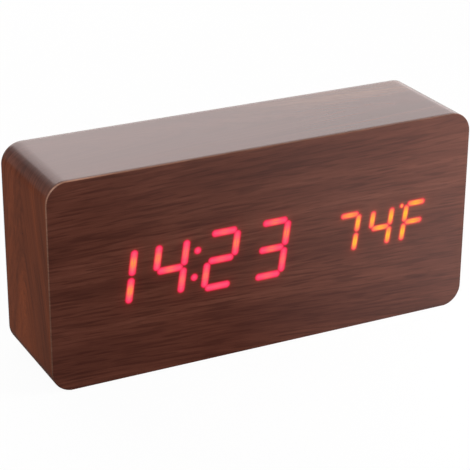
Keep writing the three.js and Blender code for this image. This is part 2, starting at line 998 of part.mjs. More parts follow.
// The lid turns on two pins at its rolled edge.
function batteryDoor() {
  const half = doorHeight / 2;
  const left = bayCentre - doorWidth / 2;
  const sheet = block([left, doorFront, -half], [hingeX, plateBack, half]);
  const roll = rodZ(doorRoll, -half, half, hingeX, hingeY);
  const pins = rodZ(
    door.pinRadius,
    -half - door.pinLength,
    half + door.pinLength,
    hingeX,
    hingeY,
    8,
  );
  const grips = Array.from({ length: door.grips }, (_, i) => {
    const x = left + door.gripInset + i * door.gripPitch;
    return block(
      [x, between(doorFront, plateBack), -door.gripLength / 2],
      [x + door.gripWidth, plateBack + door.gripRise, door.gripLength / 2],
    );
  });
  return piece("battery_door", fuse(sheet, roll, pins, ...grips), blackPlastic, 0.55);
}

function plateScrews() {
  return plateScrewPlaces.map(([x, z], i) => {
    const mesh = piece(`rear_screw_${i + 1}`, screwShape(), steel, 0.35, 0.9);
    mesh.position.set(x, plateBack - plate.counterbore, z);
    return mesh;
  });
}

// The power cells and their contacts

// A cell along X with its nub towards +X, centred on zero.
function cellShape() {
  const end = cell.length / 2;
  const shoulder = end - cell.nubLength;
  const profile = [
    [0, -end],
    [cell.radius, -end],
    [cell.radius, shoulder],
    [cell.nubRadius, shoulder],
    [cell.nubRadius, end],
    [0, end],
  ].map(([radius, place]) => new THREE.Vector2(radius, place));
  return new THREE.LatheGeometry(profile, 18).rotateZ(-Math.PI / 2);
}

// Every second cell is turned round; its sign is the way its nub points.
const cellSigns = [-1, 1, -1, 1];

function powerCells() {
  return cellRises.map((rise, i) => {
    const sign = cellSigns[i];
    const shape = cellShape();
    const mesh = piece(`battery_${i + 1}`, sign > 0 ? shape : shape.rotateZ(Math.PI), 0x3b4650, 0.4, 0.4);
    const nubEnd = sign * (bayWidth / 2 - contact.thickness - clearance);
    mesh.position.set(bayCentre + nubEnd - (sign * cell.length) / 2, cellCentreY, rise);
    return mesh;
  });
}

// A wound wire that narrows towards the cell, along +X from zero.
function springShape() {
  const steps = spring.turns * spring.stepsPerTurn;
  const rings = [];
  const reach = spring.length - spring.wireRadius;
  for (let step = 0; step <= steps; step += 1) {
    const share = step / steps;
    const radius = THREE.MathUtils.lerp(spring.baseRadius, spring.tipRadius, share);
    const turn = share * spring.turns * 2 * Math.PI;
    const ring = [];
    for (let side = 0; side < spring.sides; side += 1) {
      const around = (side / spring.sides) * 2 * Math.PI;
      const out = radius + spring.wireRadius * Math.cos(around);
      const x = share * reach - spring.wireRadius * Math.sin(around);
      ring.push([x, out * Math.cos(turn), out * Math.sin(turn)]);
    }
    rings.push(ring);
  }
  return loft(rings);
}

// A contact plate on an end wall of the bay, along +X from the wall.
function contactShape(rises, springRise, tabRise) {
  const low = Math.min(...rises) - contact.width / 2;
  const high = Math.max(...rises) + contact.width / 2;
  const sheet = block([0, -contact.height / 2, low], [contact.thickness, contact.height / 2, high]);
  const joined = [sheet];
  if (springRise !== null) {
    joined.push(springShape().translate(contact.thickness, 0, springRise));
  }
  if (tabRise !== null) {
    const tabLow = keyBoardBack - cellCentreY;
    joined.push(
      block(
        [-bay.wall - keyBoard.gapToBay - contact.tabReach, tabLow, tabRise - contact.tabWidth / 2],
        [contact.thickness, tabLow + contact.tabThickness, tabRise + contact.tabWidth / 2],
      ),
    );
  }
  return fuse(...joined);
}

function contacts() {
  const [first, second, third, fourth] = cellRises;
  const left = [
    ["contact_positive", [first], null, first],
    ["contact_left_bridge", [second, third], second, null],
    ["contact_negative", [fourth], fourth, fourth],
  ];
  const right = [
    ["contact_right_upper_bridge", [first, second], first, null],
    ["contact_right_lower_bridge", [third, fourth], third, null],
  ];
  const atLeft = left.map(([name, ...rest]) => {
    const mesh = piece(name, contactShape(...rest), steel, 0.3, 0.9);
    mesh.position.set(bayLeft, cellCentreY, 0);
    return mesh;
  });
  const atRight = right.map(([name, rises, springRise, tab]) => {
    const mirrored = contactShape(
      rises.map((rise) => -rise),
      -springRise,
      tab,
    );
    const mesh = piece(name, mirrored.rotateY(Math.PI), steel, 0.3, 0.9);
    mesh.position.set(bayRight, cellCentreY, 0);
    return mesh;
  });
  return [...atLeft, ...atRight];
}

// The key board, its switches and sensors

function keyBoardPiece() {
  const w = keyBoard.width / 2;
  const h = keyBoard.height / 2;
  const sheet = block([keyBoardX - w, keyBoardFront, -h], [keyBoardX + w, keyBoardBack, h]);
  const holes = postPlaces.map(([x, z]) =>
    rodY(screwHole, keyBoardFront - overrun, keyBoardBack + overrun, x, z),
  );
  return piece("key_board", cut(sheet, ...holes), boardGreen, 0.5);
}

function keyBoardScrews() {
  return postPlaces.map(([x, z], i) => {
    const mesh = piece(`key_board_screw_${i + 1}`, screwShape().rotateX(Math.PI), steel, 0.35, 0.9);
    mesh.position.set(x, keyBoardFront, z);
    return mesh;
  });
}

function switchPieces(name, x) {
  const w = keySwitch.width / 2;
  const top = keySwitch.height;
  const bore = keySwitch.plungerRadius + clearance;
  const body = block([-w, 0, -w], [w, top, w]);
  const well = rodY(bore, top - keySwitch.boreDepth, top + overrun);
  const base = piece(`${name}_switch`, cut(body, well), darkPlastic, 0.5);
  base.position.set(x, keyBoardBack, button.rise);
  const plungerFront = keyBoardBack + top - keySwitch.plungerSeat;
  const stem = rodY(keySwitch.plungerRadius, 0, capFront - plungerFront);
  const plunger = piece(`${name}_switch_plunger`, stem, whitePlastic, 0.5);
  plunger.position.set(x, plungerFront, button.rise);
  return [base, plunger];
}

// A cap with a flange behind the plate that keeps it in.
function buttonCap(name, x) {
  const crown = rodY(button.radius, capFront, capBack, 0, 0, 20);
  const flange = rodY(button.flangeRadius, capFront, capFlangeBack, 0, 0, 20);
  const mesh = piece(`${name}_button`, fuse(crown, flange), darkPlastic, 0.45);
  mesh.position.set(x, 0, button.rise);
  return mesh;
}

function powerSocket() {
  const w = socket.width / 2;
  const body = block([-w, keyBoardBack, -w], [w, plateFront - clearance, w]);
  const barrel = rodY(socket.barrelRadius, keyBoardBack + overrun, plateBack, 0, 0, 20);
  const bore = rodY(socket.boreRadius, plateBack - socket.boreDepth, plateBack + overrun, 0, 0, 20);
  const mesh = piece("power_socket", cut(fuse(body, barrel), bore), darkPlastic, 0.5);
  mesh.position.set(controlX, 0, socket.bodyRise);
  const stem = rodY(socket.pinRadius, plateBack - socket.boreDepth, plateBack - socket.pinRecess);
  const pin = piece("power_socket_pin", stem, steel, 0.3, 0.9);
  pin.position.copy(mesh.position);
  return [mesh, pin];
}

function soundSensorPiece() {
  const can = rodY(soundSensor.radius, 0, soundSensor.height);
  const mesh = piece("sound_sensor", can, steel, 0.4, 0.8);
  mesh.position.set(controlX - soundSensor.offset, keyBoardBack, vent.rise);
  return mesh;
}

function temperatureSensor() {
  const bead = new THREE.SphereGeometry(thermistor.beadRadius, 10, 6);
  bead.translate(0, thermistor.leadLength, 0);
  const leads = [-1, 1].map((side) =>
    rodY(thermistor.leadRadius, 0, thermistor.leadLength, (side * thermistor.leadGap) / 2, 0, 6),
  );
  const mesh = piece("temperature_sensor", fuse(bead, ...leads), 0x2b211c, 0.4);
  mesh.position.set(controlX + thermistor.offset, keyBoardBack, vent.rise);
  return mesh;
}

// The whole clock

const woodenCase = new THREE.Group();
const boards = [wrapVeneer(), caseFrame(), frontVeneer(), rearVeneer(), frontPanel(), rearPanel()];
woodenCase.add(...boards);
woodenCase.position.z = middle;

const displayUnit = new THREE.Group();
displayUnit.add(
  lightGuides(),
  displayBoardPiece(),
  ...displayScrews(),
  controlChip(),
  rtcCrystal(),
  filterCapacitor(),
  buzzerPiece(),
  displayConnector(),
  ribbonLead(),
  keyConnector(),
);

const rearUnit = new THREE.Group();
rearUnit.position.z = middle;
rearUnit.add(
  rearHousing(),
  batteryDoor(),
  ...plateScrews(),
  ...powerCells(),
  ...contacts(),
  keyBoardPiece(),
  ...keyBoardScrews(),
  ...buttonNames.flatMap((name, i) => [...switchPieces(name, buttonXs[i]), buttonCap(name, buttonXs[i])]),
  ...powerSocket(),
  soundSensorPiece(),
  temperatureSensor(),
);

const clock = new THREE.Group();
clock.add(woodenCase, displayUnit, rearUnit);

export default clock;
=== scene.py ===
"""The looks of a wooden digital alarm clock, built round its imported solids.

Lengths are in metres. X runs to the right seen from the front, Y to the back and Z up, and the
origin is the centre of the flat underside.
"""

from __future__ import annotations

import json
import logging
import math
from dataclasses import dataclass, field
from enum import Enum
from typing import Sequence

import bmesh
import bpy
import numpy as np
from mathutils import Matrix, Vector

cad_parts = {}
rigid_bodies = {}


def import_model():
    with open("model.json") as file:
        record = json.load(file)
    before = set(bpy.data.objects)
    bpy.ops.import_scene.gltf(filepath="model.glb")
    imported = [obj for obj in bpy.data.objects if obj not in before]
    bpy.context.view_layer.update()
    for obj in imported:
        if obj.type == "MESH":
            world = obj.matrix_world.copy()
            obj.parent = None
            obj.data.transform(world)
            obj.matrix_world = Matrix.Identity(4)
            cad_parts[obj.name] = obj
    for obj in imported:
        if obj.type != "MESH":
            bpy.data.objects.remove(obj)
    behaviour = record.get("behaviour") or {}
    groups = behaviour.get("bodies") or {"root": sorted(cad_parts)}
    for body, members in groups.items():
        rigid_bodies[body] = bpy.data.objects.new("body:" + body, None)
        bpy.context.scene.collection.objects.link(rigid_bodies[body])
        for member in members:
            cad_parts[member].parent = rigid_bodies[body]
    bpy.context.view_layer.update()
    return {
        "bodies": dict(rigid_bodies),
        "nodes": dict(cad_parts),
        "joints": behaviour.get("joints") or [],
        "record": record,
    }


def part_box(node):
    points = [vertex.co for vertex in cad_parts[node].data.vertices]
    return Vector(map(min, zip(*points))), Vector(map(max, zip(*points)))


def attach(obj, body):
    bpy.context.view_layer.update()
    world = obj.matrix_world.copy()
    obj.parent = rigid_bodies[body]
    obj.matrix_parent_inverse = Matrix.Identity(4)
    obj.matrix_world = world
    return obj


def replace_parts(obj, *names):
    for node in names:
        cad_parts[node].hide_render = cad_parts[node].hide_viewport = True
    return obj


LOG = logging.getLogger("clock")
MM = 0.001
GRAIN_UV = "grain"
QUARTER = math.pi / 2
FULL_TURN = 2 * math.pi
SHARP_DEGREES = 40
NOISE_RANGE = (0.3, 0.7)  # Most of what smooth noise gives lies between these.
DISPLAY_DROP = 0.3 * MM  # The display's middle lies this far below the case's.
WHITE = (1.0, 1.0, 1.0)
BLACK = (0.0, 0.0, 0.0)
Piece = bpy.types.Object
Material = bpy.types.Material
Socket = bpy.types.NodeSocket
Colour = tuple[float, float, float]
Mesh = tuple[np.ndarray, list[np.ndarray]]  # Points and blocks of faces.
Made = tuple[Piece, str, str]  # A piece, its body and its slot.


class Axis(Enum):
    """What a profile is spun about."""

    X = "x"
    Y = "y"


def srgb(red: int, green: int, blue: int) -> Colour:
    """Turns a colour as a screen shows it into the linear colour that a shader reads.

    Args:
        red: red from 0 to 255.
        green: green from 0 to 255.
        blue: blue from 0 to 255.

    Returns:
        The linear red, green and blue from 0 to 1.
    """
    shares = np.array([red, green, blue]) / 255
    linear = np.where(shares <= 0.04045, shares / 12.92, ((shares + 0.055) / 1.055) ** 2.4)
    return tuple(float(v) for v in linear)


def ramp(values: np.ndarray, start: float, length: float) -> np.ndarray:
    """0 up to the start, 1 from a length past it, even between. A negative length runs back."""
    return np.clip((values - start) / length, 0, 1)


def bell(values: np.ndarray, middle: float, width: float) -> np.ndarray:
    """A bell curve: e to the minus square of the distance from the middle over the width."""
    return np.exp(-(((values - middle) / width) ** 2))


def quarter_turn(steps: int) -> np.ndarray:
    """Angles in equal steps from nothing to a quarter turn."""
    return np.linspace(0, QUARTER, steps + 1)


def round_turn(count: int) -> np.ndarray:
    """Angles in equal steps once round, without the last, which is the first again."""
    return np.arange(count) / count * FULL_TURN


def middle_of(node: str) -> Vector:
    """The middle of a solid's box."""
    low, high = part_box(node)
    return (low + high) / 2


def in_scene(name: str, data: bpy.types.ID) -> Piece:
    """Makes an object at the origin and links it to the scene.

    Args:
        name: the object's name.
        data: its mesh, camera or lamp.

    Returns:
        The object.
    """
    made = bpy.data.objects.new(name, data)
    bpy.context.scene.collection.objects.link(made)
    return made


def make_piece(
    name: str,
    points: np.ndarray,
    faces: Sequence[np.ndarray],
    material: Material,
    uv: np.ndarray | None = None,
    values: dict[str, np.ndarray] | None = None,
    second: Material | None = None,
    in_second: np.ndarray | None = None,
) -> Piece:
    """Makes a piece from points in place.

    Args:
        name: the piece's name.
        points: one row of x, y and z for each point.
        faces: blocks of faces. Each block has one row of point numbers for each face.
        material: the finish.
        uv: one row of two grain coordinates for each point, in metres.
        values: named numbers, one for each point.
        second: a second finish.
        in_second: whether each face has the second finish.

    Returns:
        The piece.
    """
    mesh = bpy.data.meshes.new(name)
    mesh.from_pydata(points.tolist(), [], [face for block in faces for face in block.tolist()])
    if uv is not None:
        corner_points = np.zeros(len(mesh.loops), np.int32)
        mesh.loops.foreach_get("vertex_index", corner_points)
        layer = mesh.uv_layers.new(name=GRAIN_UV)
        layer.data.foreach_set("uv", uv[corner_points].astype(np.float32).ravel())
    for label, numbers in (values or {}).items():
        attribute = mesh.attributes.new(label, "FLOAT", "POINT")
        attribute.data.foreach_set("value", numbers.astype(np.float32))
    mesh.materials.append(material)
    if second is not None and in_second is not None:
        mesh.materials.append(second)
        mesh.polygons.foreach_set("material_index", in_second.astype(np.int32))
    mesh.validate()
    mesh.update()
    mesh.shade_smooth()
    mesh.set_sharp_from_angle(angle=math.radians(SHARP_DEGREES))
    return in_scene(name, mesh)


def tube_faces(rings: int, count: int, closed_rings: bool = False) -> np.ndarray:
    """The faces between rings of equally many points.

    Args:
        rings: how many rings there are.
        count: how many points each ring has.
        closed_rings: whether the last ring joins the first.

    Returns:
        One row of four point numbers for each face.
    """
    row = np.arange(rings if closed_rings else rings - 1)[:, None] * count
    column = np.arange(count)[None, :]
    after = (column + 1) % count
    below = (row + count) % (rings * count)
    corners = (row + column, row + after, below + after, below + column)
    return np.stack(np.broadcast_arrays(*corners), axis=-1).reshape(-1, 4)


def joined(parts: Sequence[Mesh]) -> Mesh:
    """Puts the points of several parts in one list.

    Args:
        parts: each part's points and faces.

    Returns:
        All the points, and all the faces with their point numbers moved on.
    """
    firsts = np.cumsum([0] + [len(points) for points, _ in parts])
    faces = [first + block for first, (_, blocks) in zip(firsts, parts) for block in blocks]
    return np.concatenate([points for points, _ in parts]), faces


def facing_out(piece: Piece) -> Piece:
    """Turns the faces of a closed piece outwards.

    Args:
        piece: the piece.

    Returns:
        The same piece.
    """
    shell = bmesh.new()
    shell.from_mesh(piece.data)
    bmesh.ops.recalc_face_normals(shell, faces=shell.faces)
    shell.to_mesh(piece.data)
    shell.free()
    piece.data.update()
    return piece


def spun(
    name: str,
    profile: Sequence[tuple[float, float]],
    axis: Axis,
    centre: Vector,
    material: Material,
    shape: np.ndarray | None = None,
    count: int = 48,
    second: Material | None = None,
    second_rows: tuple[int, int] = (0, 0),
    bands: dict[str, Sequence[float]] | None = None,
) -> Piece:
    """Turns a profile about an axis into a closed piece.

    A point lies at the centre plus its radius times the cosine and sine of its turn, and at its
    own place along the axis. The first and last rows of the profile lie on the axis.

    Args:
        name: the piece's name.
        profile: rows of a radius and a place along the axis.
        axis: the axis's direction.
        centre: a point on the axis.
        material: the finish.
        shape: for each row and turn, what the radius is multiplied by.
        count: how many turns there are.
        second: a second finish.
        second_rows: the first row that has it, and the row after the last.
        bands: named numbers, one for each row.

    Returns:
        The piece.
    """
    rows = np.array(profile)
    turns = round_turn(count)
    radius = np.repeat(rows[:, :1], count, axis=1)
    if shape is not None:
        radius = radius * shape
    place = np.repeat(rows[:, 1:], count, axis=1)
    across, rise = radius * np.cos(turns), radius * np.sin(turns)
    if axis is Axis.X:
        points = np.stack([place, centre.y + across, centre.z + rise], axis=-1)
    else:
        points = np.stack([centre.x + across, place, centre.z + rise], axis=-1)
    every = np.concatenate([points[1:-1].reshape(-1, 3), points[:1, 0], points[-1:, 0]])
    rings = len(rows) - 2
    step = np.arange(count)
    after = (step + 1) % count
    base = (rings - 1) * count
    first, last = np.full(count, rings * count), np.full(count, rings * count + 1)
    faces = [
        tube_faces(rings, count),
        np.stack([after, step, first], axis=1),
        np.stack([base + step, base + after, last], axis=1),
    ]
    row_of = np.concatenate(
        [np.repeat(np.arange(1, rings), count), np.zeros(count), np.full(count, len(rows))]
    )
    in_second = (row_of >= second_rows[0]) & (row_of < second_rows[1])
    values = {
        label: np.concatenate([np.repeat(numbers[1:-1], count), [numbers[0], numbers[-1]]])
        for label, numbers in (bands or {}).items()
    }
    piece = make_piece(
        name, every, faces, material, values=values, second=second, in_second=in_second
    )
    return facing_out(piece)


def round_edges(piece: Piece, width: float, degrees: float) -> None:
    """Rounds a piece's sharp edges with a bevel of two segments.

    Args:
        piece: the piece.
        width: how wide the rounded edges are.
        degrees: edges that turn by more than this are rounded.
    """
    bevel = piece.modifiers.new("rounded_edges", "BEVEL")
    bevel.width = width
    bevel.segments = 2
    bevel.limit_method = "ANGLE"
    bevel.angle_limit = math.radians(degrees)


def softened(
    node: Piece,
    name: str,
    width: float,
    material: Material,
    degrees: float = 32,
    flat_from: float = 3 * MM**2,
    weld: float = 0.002 * MM,
) -> Piece:
    """Copies a solid, joins its loose triangles, and rounds its edges.

    Args:
        node: the solid.
        name: the new piece's name.
        width: how wide the rounded edges are.
        material: the finish.
        degrees: edges that turn by more than this are rounded.
        flat_from: faces of this area and more are shaded flat, smaller ones smoothly.
        weld: points closer than this become one.

    Returns:
        The new piece.
    """
    mesh = node.data.copy()
    mesh.name = name
    shell = bmesh.new()
    shell.from_mesh(mesh)
    bmesh.ops.remove_doubles(shell, verts=shell.verts, dist=weld)
    bmesh.ops.dissolve_limit(
        shell,
        angle_limit=math.radians(1),
        verts=shell.verts,
        edges=shell.edges,
        use_dissolve_boundaries=False,
    )
    shell.to_mesh(mesh)
    shell.free()
    mesh.materials.clear()
    mesh.materials.append(material)
    areas = np.empty(len(mesh.polygons))
    mesh.polygons.foreach_get("area", areas)
    mesh.set_sharp_from_angle(angle=math.radians(SHARP_DEGREES))
    mesh.polygons.foreach_set("use_smooth", areas < flat_from)
    piece = in_scene(name, mesh)
    round_edges(piece, width, degrees)
    return piece


class Nodes:
    """A node tree, with a short call for each kind of node."""

    def __init__(self, tree: bpy.types.NodeTree) -> None:
        """Takes a tree and empties it."""
        self.tree = tree
        self.tree.nodes.clear()

    def add(self, kind: str, **settings: object) -> bpy.types.Node:
        """Adds a node.

        Args:
            kind: the node's type.
            settings: its properties by name.

        Returns:
            The node.
        """
        node = self.tree.nodes.new(kind)
        for key, value in settings.items():
            setattr(node, key, value)
        return node

    def join(self, source: Socket, target: Socket) -> None:
        """Links two sockets."""
        self.tree.links.new(source, target)

    def feed(self, socket: Socket, value: object) -> None:
        """Links a socket to another, or sets its value.

        Args:
            socket: the input.
            value: another node's output, a number, or a colour without its alpha.
        """
        if isinstance(value, Socket):
            self.join(value, socket)
        elif isinstance(value, tuple) and len(value) == 3 and socket.type == "RGBA":
            socket.default_value = (*value, 1.0)
        else:
            socket.default_value = value

    def math(self, operation: str, *terms: object) -> Socket:
        """Calculates with numbers or sockets.

        Args:
            operation: the calculation's name.
            terms: what it is done with.

        Returns:
            The result.
        """
        node = self.add("ShaderNodeMath", operation=operation)
        for socket, term in zip(node.inputs, terms):
            self.feed(socket, term)
        return node.outputs["Value"]

    def times(self, first: object, second: object) -> Socket:
        """The product of two numbers or sockets."""
        return self.math("MULTIPLY", first, second)

    def plus(self, first: object, second: object) -> Socket:
        """The sum of two numbers or sockets."""
        return self.math("ADD", first, second)

    def minus(self, first: object, second: object) -> Socket:
        """The first number or socket less the second."""
        return self.math("SUBTRACT", first, second)

    def over(self, first: object, second: object) -> Socket:
        """The first number or socket divided by the second."""
        return self.math("DIVIDE", first, second)

    def vector(self, x: object, y: object, z: object = 0.0) -> Socket:
        """Makes a vector.

        Args:
            x: its first number or socket.
            y: its second.
            z: its third.

        Returns:
            The vector.
        """
        node = self.add("ShaderNodeCombineXYZ")
        for socket, term in zip(node.inputs, (x, y, z)):
            self.feed(socket, term)
        return node.outputs["Vector"]

    def parts(self, vector: Socket) -> tuple[Socket, ...]:
        """Takes a vector apart.

        Args:
            vector: the vector.

        Returns:
            Its three numbers.
        """
        node = self.add("ShaderNodeSeparateXYZ")
        self.join(vector, node.inputs["Vector"])
        return tuple(node.outputs)

    def noise(
        self,
        vector: Socket,
        scale: float = 1.0,
        detail: float = 2.0,
        rough: float = 0.5,
    ) -> Socket:
        """Smooth noise.

        Args:
            vector: where it is read.
            scale: how many waves it has to a unit.
            detail: how many finer layers it has.
            rough: how strong the finer layers are.

        Returns:
            A number from 0 to 1.
        """
        node = self.add("ShaderNodeTexNoise")
        self.join(vector, node.inputs["Vector"])
        self.feed(node.inputs["Scale"], scale)
        self.feed(node.inputs["Detail"], detail)
        self.feed(node.inputs["Roughness"], rough)
        return node.outputs["Fac"]

    def span(
        self,
        value: Socket,
        low: float,
        high: float,
        to_low: float = 0.0,
        to_high: float = 1.0,
    ) -> Socket:
        """Turns one range into another and holds the value inside it.

        Args:
            value: the value.
            low: where the first range starts.
            high: where it ends.
            to_low: where the second range starts.
            to_high: where it ends.

        Returns:
            The value in the second range.
        """
        node = self.add("ShaderNodeMapRange", clamp=True)
        self.join(value, node.inputs["Value"])
        labels = ("From Min", "From Max", "To Min", "To Max")
        for label, number in zip(labels, (low, high, to_low, to_high)):
            self.feed(node.inputs[label], number)
        return node.outputs["Result"]

    def mix(self, share: object, first: object, second: object) -> Socket:
        """Mixes two colours.

        Args:
            share: how much of the second shows, from 0 to 1.
            first: the first colour.
            second: the second colour.

        Returns:
            The mixed colour.
        """
        node = self.add("ShaderNodeMix", data_type="RGBA")
        colours = [socket for socket in node.inputs if socket.type == "RGBA"]
        self.feed(node.inputs["Factor"], share)
        self.feed(colours[0], first)
        self.feed(colours[1], second)
        return next(socket for socket in node.outputs if socket.type == "RGBA")

    def blend(self, share: object, first: Socket, second: Socket) -> Socket:
        """Mixes two shaders.

        Args:
            share: how much of the second shows, from 0 to 1.
            first: the first shader.
            second: the second shader.

        Returns:
            The mixed shader.
        """
        node = self.add("ShaderNodeMixShader")
        self.feed(node.inputs["Fac"], share)
        self.join(first, node.inputs[1])
        self.join(second, node.inputs[2])
        return node.outputs["Shader"]


class Surface(Nodes):
    """A material's node tree with one shader and its output."""

    def __init__(self, name: str) -> None:
        """Starts an empty material.

        Args:
            name: the material's name.
        """
        self.material = bpy.data.materials.new(name)
        self.material.use_nodes = True
        super().__init__(self.material.node_tree)
        self.shader = self.add("ShaderNodeBsdfPrincipled")
        self.output = self.add("ShaderNodeOutputMaterial")
        self.join(self.shader.outputs["BSDF"], self.output.inputs["Surface"])

    def attribute(self, name: str) -> Socket:
        """The number that the mesh holds under a name."""
        return self.add("ShaderNodeAttribute", attribute_name=name).outputs["Fac"]

    def place(self) -> Socket:
        """The point's place in the object's own frame."""
        return self.add("ShaderNodeTexCoord").outputs["Object"]

    def grain(self) -> Socket:
        """The point's place along and across the grain."""
        return self.add("ShaderNodeUVMap", uv_map=GRAIN_UV).outputs["UV"]

    def bump(self, height: Socket, distance: float, strength: float) -> None:
        """Gives the shader a relief.

        Args:
            height: the relief's height from 0 to 1.
            distance: how far apart 0 and 1 lie.
            strength: how much of the relief shows.
        """
        node = self.add("ShaderNodeBump")
        self.feed(node.inputs["Height"], height)
        self.feed(node.inputs["Distance"], distance)
        self.feed(node.inputs["Strength"], strength)
        self.join(node.outputs["Normal"], self.shader.inputs["Normal"])

    def set(self, label: str, value: object) -> None:
        """Sets or links one of the shader's inputs."""
        self.feed(self.shader.inputs[label], value)


@dataclass(frozen=True)
class Streaks:
    """Stretched noise: its length along the grain, its width across it, its detail, its place."""

    length: float
    width: float
    detail: float
    shift: float


@dataclass(frozen=True)
class WalnutVeneer:
    """Dark walnut under a satin lacquer, with its grain along the first grain coordinate.

    The second grain coordinate counts growth layers, so where a mesh bends it, as on the left
    end, the streaks bend with it. The mesh holds how warm, pale, quiet and worn the wood is at
    each point, how much painted highlight lies on the worn front rim, and how much painted sheen,
    a painted reflection of the lacquer, lies on the wood.
    """

    name: str = "walnut_veneer"
    dark: Colour = srgb(62, 31, 24)
    middle: Colour = srgb(80, 43, 33)
    light: Colour = srgb(97, 56, 44)
    pore: Colour = srgb(44, 20, 15)
    warm: Colour = srgb(176, 88, 47)
    # The pale edge colour: worn veneer edges, and on the front's rim also a painted highlight.
    edge: Colour = srgb(196, 146, 122)
    halo: Colour = srgb(230, 10, 40)
    warm_halo: Colour = srgb(240, 66, 35)
    pale: Colour = srgb(146, 104, 76)
    # The colour of the painted sheen, a painted reflection of the lacquer.
    painted_sheen: Colour = srgb(150, 128, 124)
    wave: float = 3 * MM
    wave_length: float = 110 * MM
    wave_width: float = 110 / 3 * MM
    roughness_of_streaks: float = 0.6
    broad_streaks: Streaks = Streaks(120 * MM, 8 * MM, 1.0, 1.3)
    band_streaks: Streaks = Streaks(36 * MM, 1.3 * MM, 2.0, 4.1)
    fine_streaks: Streaks = Streaks(10 * MM, 0.6 * MM, 1.0, 7.7)
    fleck_streaks: Streaks = Streaks(12 * MM, 0.8 * MM, 0.0, 9.2)
    pore_streaks: Streaks = Streaks(4 * MM, 0.2 * MM, 0.0, 11.9)
    clouds: Streaks = Streaks(26 * MM, 17 * MM, 2.0, 15.1)
    broad_weight: float = 0.4
    band_weight: float = 0.28
    fine_weight: float = 0.17
    cloud_weight: float = 0.15
    dark_to_middle: tuple[float, ...] = (0.33, 0.5)
    middle_to_light: tuple[float, ...] = (0.5, 0.67)
    warm_by_tone: tuple[float, ...] = (0.33, 0.64, 0.45, 0.95)
    pale_by_tone: tuple[float, ...] = (0.42, 0.58, 0.2, 1.0)
    fleck_peaks: tuple[float, ...] = (0.54, 0.66)
    pore_peaks: tuple[float, ...] = (0.6, 0.7)
    fleck_depth: float = 0.35
    fleck_lost_in_warm: float = 0.23
    pore_depth: float = 0.22
    least_wear_and_highlight: float = 0.55
    gloss: float = 0.22
    gloss_below: float = 0.02
    gloss_above: float = 0.03
    index: float = 1.45
    specular: float = 0.3
    relief_height: float = 0.02 * MM
    fleck_relief: float = 0.5
    relief: float = 0.14
    least_shine: float = 0.8
    lit: bool = False
    seed: float = 0.0

    def build(self) -> Material:
        """Makes the material.

        The grain is noise that is stretched along the board, read at several widths and bent
        by one slow wave. Broad streaks, growth bands, fine streaks and clouds, each times its
        weight, add up to the tone. The tone leads from dark to middle to light, and decides how
        much of the warm and pale colours shows where the mesh asks for them. Flecks and pores
        are thin dark dashes where finer noise peaks. The quiet share, the painted sheen and the
        pale edge colour of the mesh come last, over all of these. The edge colour is wear, and on
        the front's rim also a painted highlight.

        Returns:
            The material.
        """
        nodes = Surface(self.name)
        along, across, _ = nodes.parts(nodes.grain())
        slow_place = nodes.vector(
            nodes.over(along, self.wave_length), nodes.over(across, self.wave_width), self.seed
        )
        slow = nodes.noise(slow_place, detail=1.0)
        bend = nodes.times(nodes.minus(slow, 0.5), self.wave)
        bent = nodes.plus(across, bend)

        broad = self._streaks(nodes, along, bent, self.broad_streaks)
        bands = self._streaks(nodes, along, bent, self.band_streaks)
        fine = self._streaks(nodes, along, bent, self.fine_streaks)
        fleck = self._streaks(nodes, along, bent, self.fleck_streaks)
        pore = self._streaks(nodes, along, bent, self.pore_streaks)
        cloud = self._streaks(nodes, along, across, self.clouds, rough=0.5)
        tone = nodes.plus(
            nodes.plus(nodes.times(broad, self.broad_weight), nodes.times(bands, self.band_weight)),
            nodes.plus(nodes.times(fine, self.fine_weight), nodes.times(cloud, self.cloud_weight)),
        )

        warm = nodes.attribute("warm")
        wood = nodes.mix(nodes.span(tone, *self.dark_to_middle), self.dark, self.middle)
        wood = nodes.mix(nodes.span(tone, *self.middle_to_light), wood, self.light)
        wood = nodes.mix(nodes.times(warm, nodes.span(tone, *self.warm_by_tone)), wood, self.warm)
        pale = nodes.times(nodes.attribute("pale"), nodes.span(tone, *self.pale_by_tone))
        wood = nodes.mix(pale, wood, self.pale)
        flecks = nodes.span(fleck, *self.fleck_peaks)
        pores = nodes.span(pore, *self.pore_peaks)
        fleck_depth = nodes.minus(self.fleck_depth, nodes.times(warm, self.fleck_lost_in_warm))
        wood = nodes.mix(nodes.times(flecks, fleck_depth), wood, self.pore)
        wood = nodes.mix(nodes.times(pores, self.pore_depth), wood, self.pore)
        wood = nodes.mix(nodes.attribute("quiet"), wood, self.middle)
        # Painted sheen: a greyish reflection of the lacquer, painted into the colour where the mesh
        # asks for it.
        wood = nodes.mix(nodes.attribute("painted_sheen"), wood, self.painted_sheen)
        # The pale edge colour: worn edges, and on the front's rim also a painted highlight.
        uneven = nodes.span(fine, *NOISE_RANGE, self.least_wear_and_highlight, 1.0)
        wood = nodes.mix(nodes.times(nodes.attribute("wear_and_highlight"), uneven), wood, self.edge)
        nodes.set("Base Color", wood)

        low, high = self.gloss - self.gloss_below, self.gloss + self.gloss_above
        nodes.set("Roughness", nodes.span(fine, *NOISE_RANGE, low, high))
        nodes.set("IOR", self.index)
        nodes.set("Specular IOR Level", self.specular)
        dents = nodes.plus(pores, nodes.times(flecks, self.fleck_relief))
        nodes.bump(nodes.minus(fine, dents), self.relief_height, self.relief)
        if self.lit:
            self._shine(nodes, fine)
        return nodes.material

    def _streaks(
        self,
        nodes: Surface,
        along: Socket,
        across: Socket,
        streaks: Streaks,
        rough: float | None = None,
    ) -> Socket:
        """Reads noise that is stretched along the grain.

        Args:
            nodes: the material's nodes.
            along: the place along the grain.
            across: the place across it.
            streaks: how the noise is stretched.
            rough: how strong its finer layers are, or else as strong as in all streaks.

        Returns:
            The noise.
        """
        place = nodes.vector(
            nodes.over(along, streaks.length),
            nodes.over(across, streaks.width),
            self.seed + streaks.shift,
        )
        strength = self.roughness_of_streaks if rough is None else rough
        return nodes.noise(place, detail=streaks.detail, rough=strength)

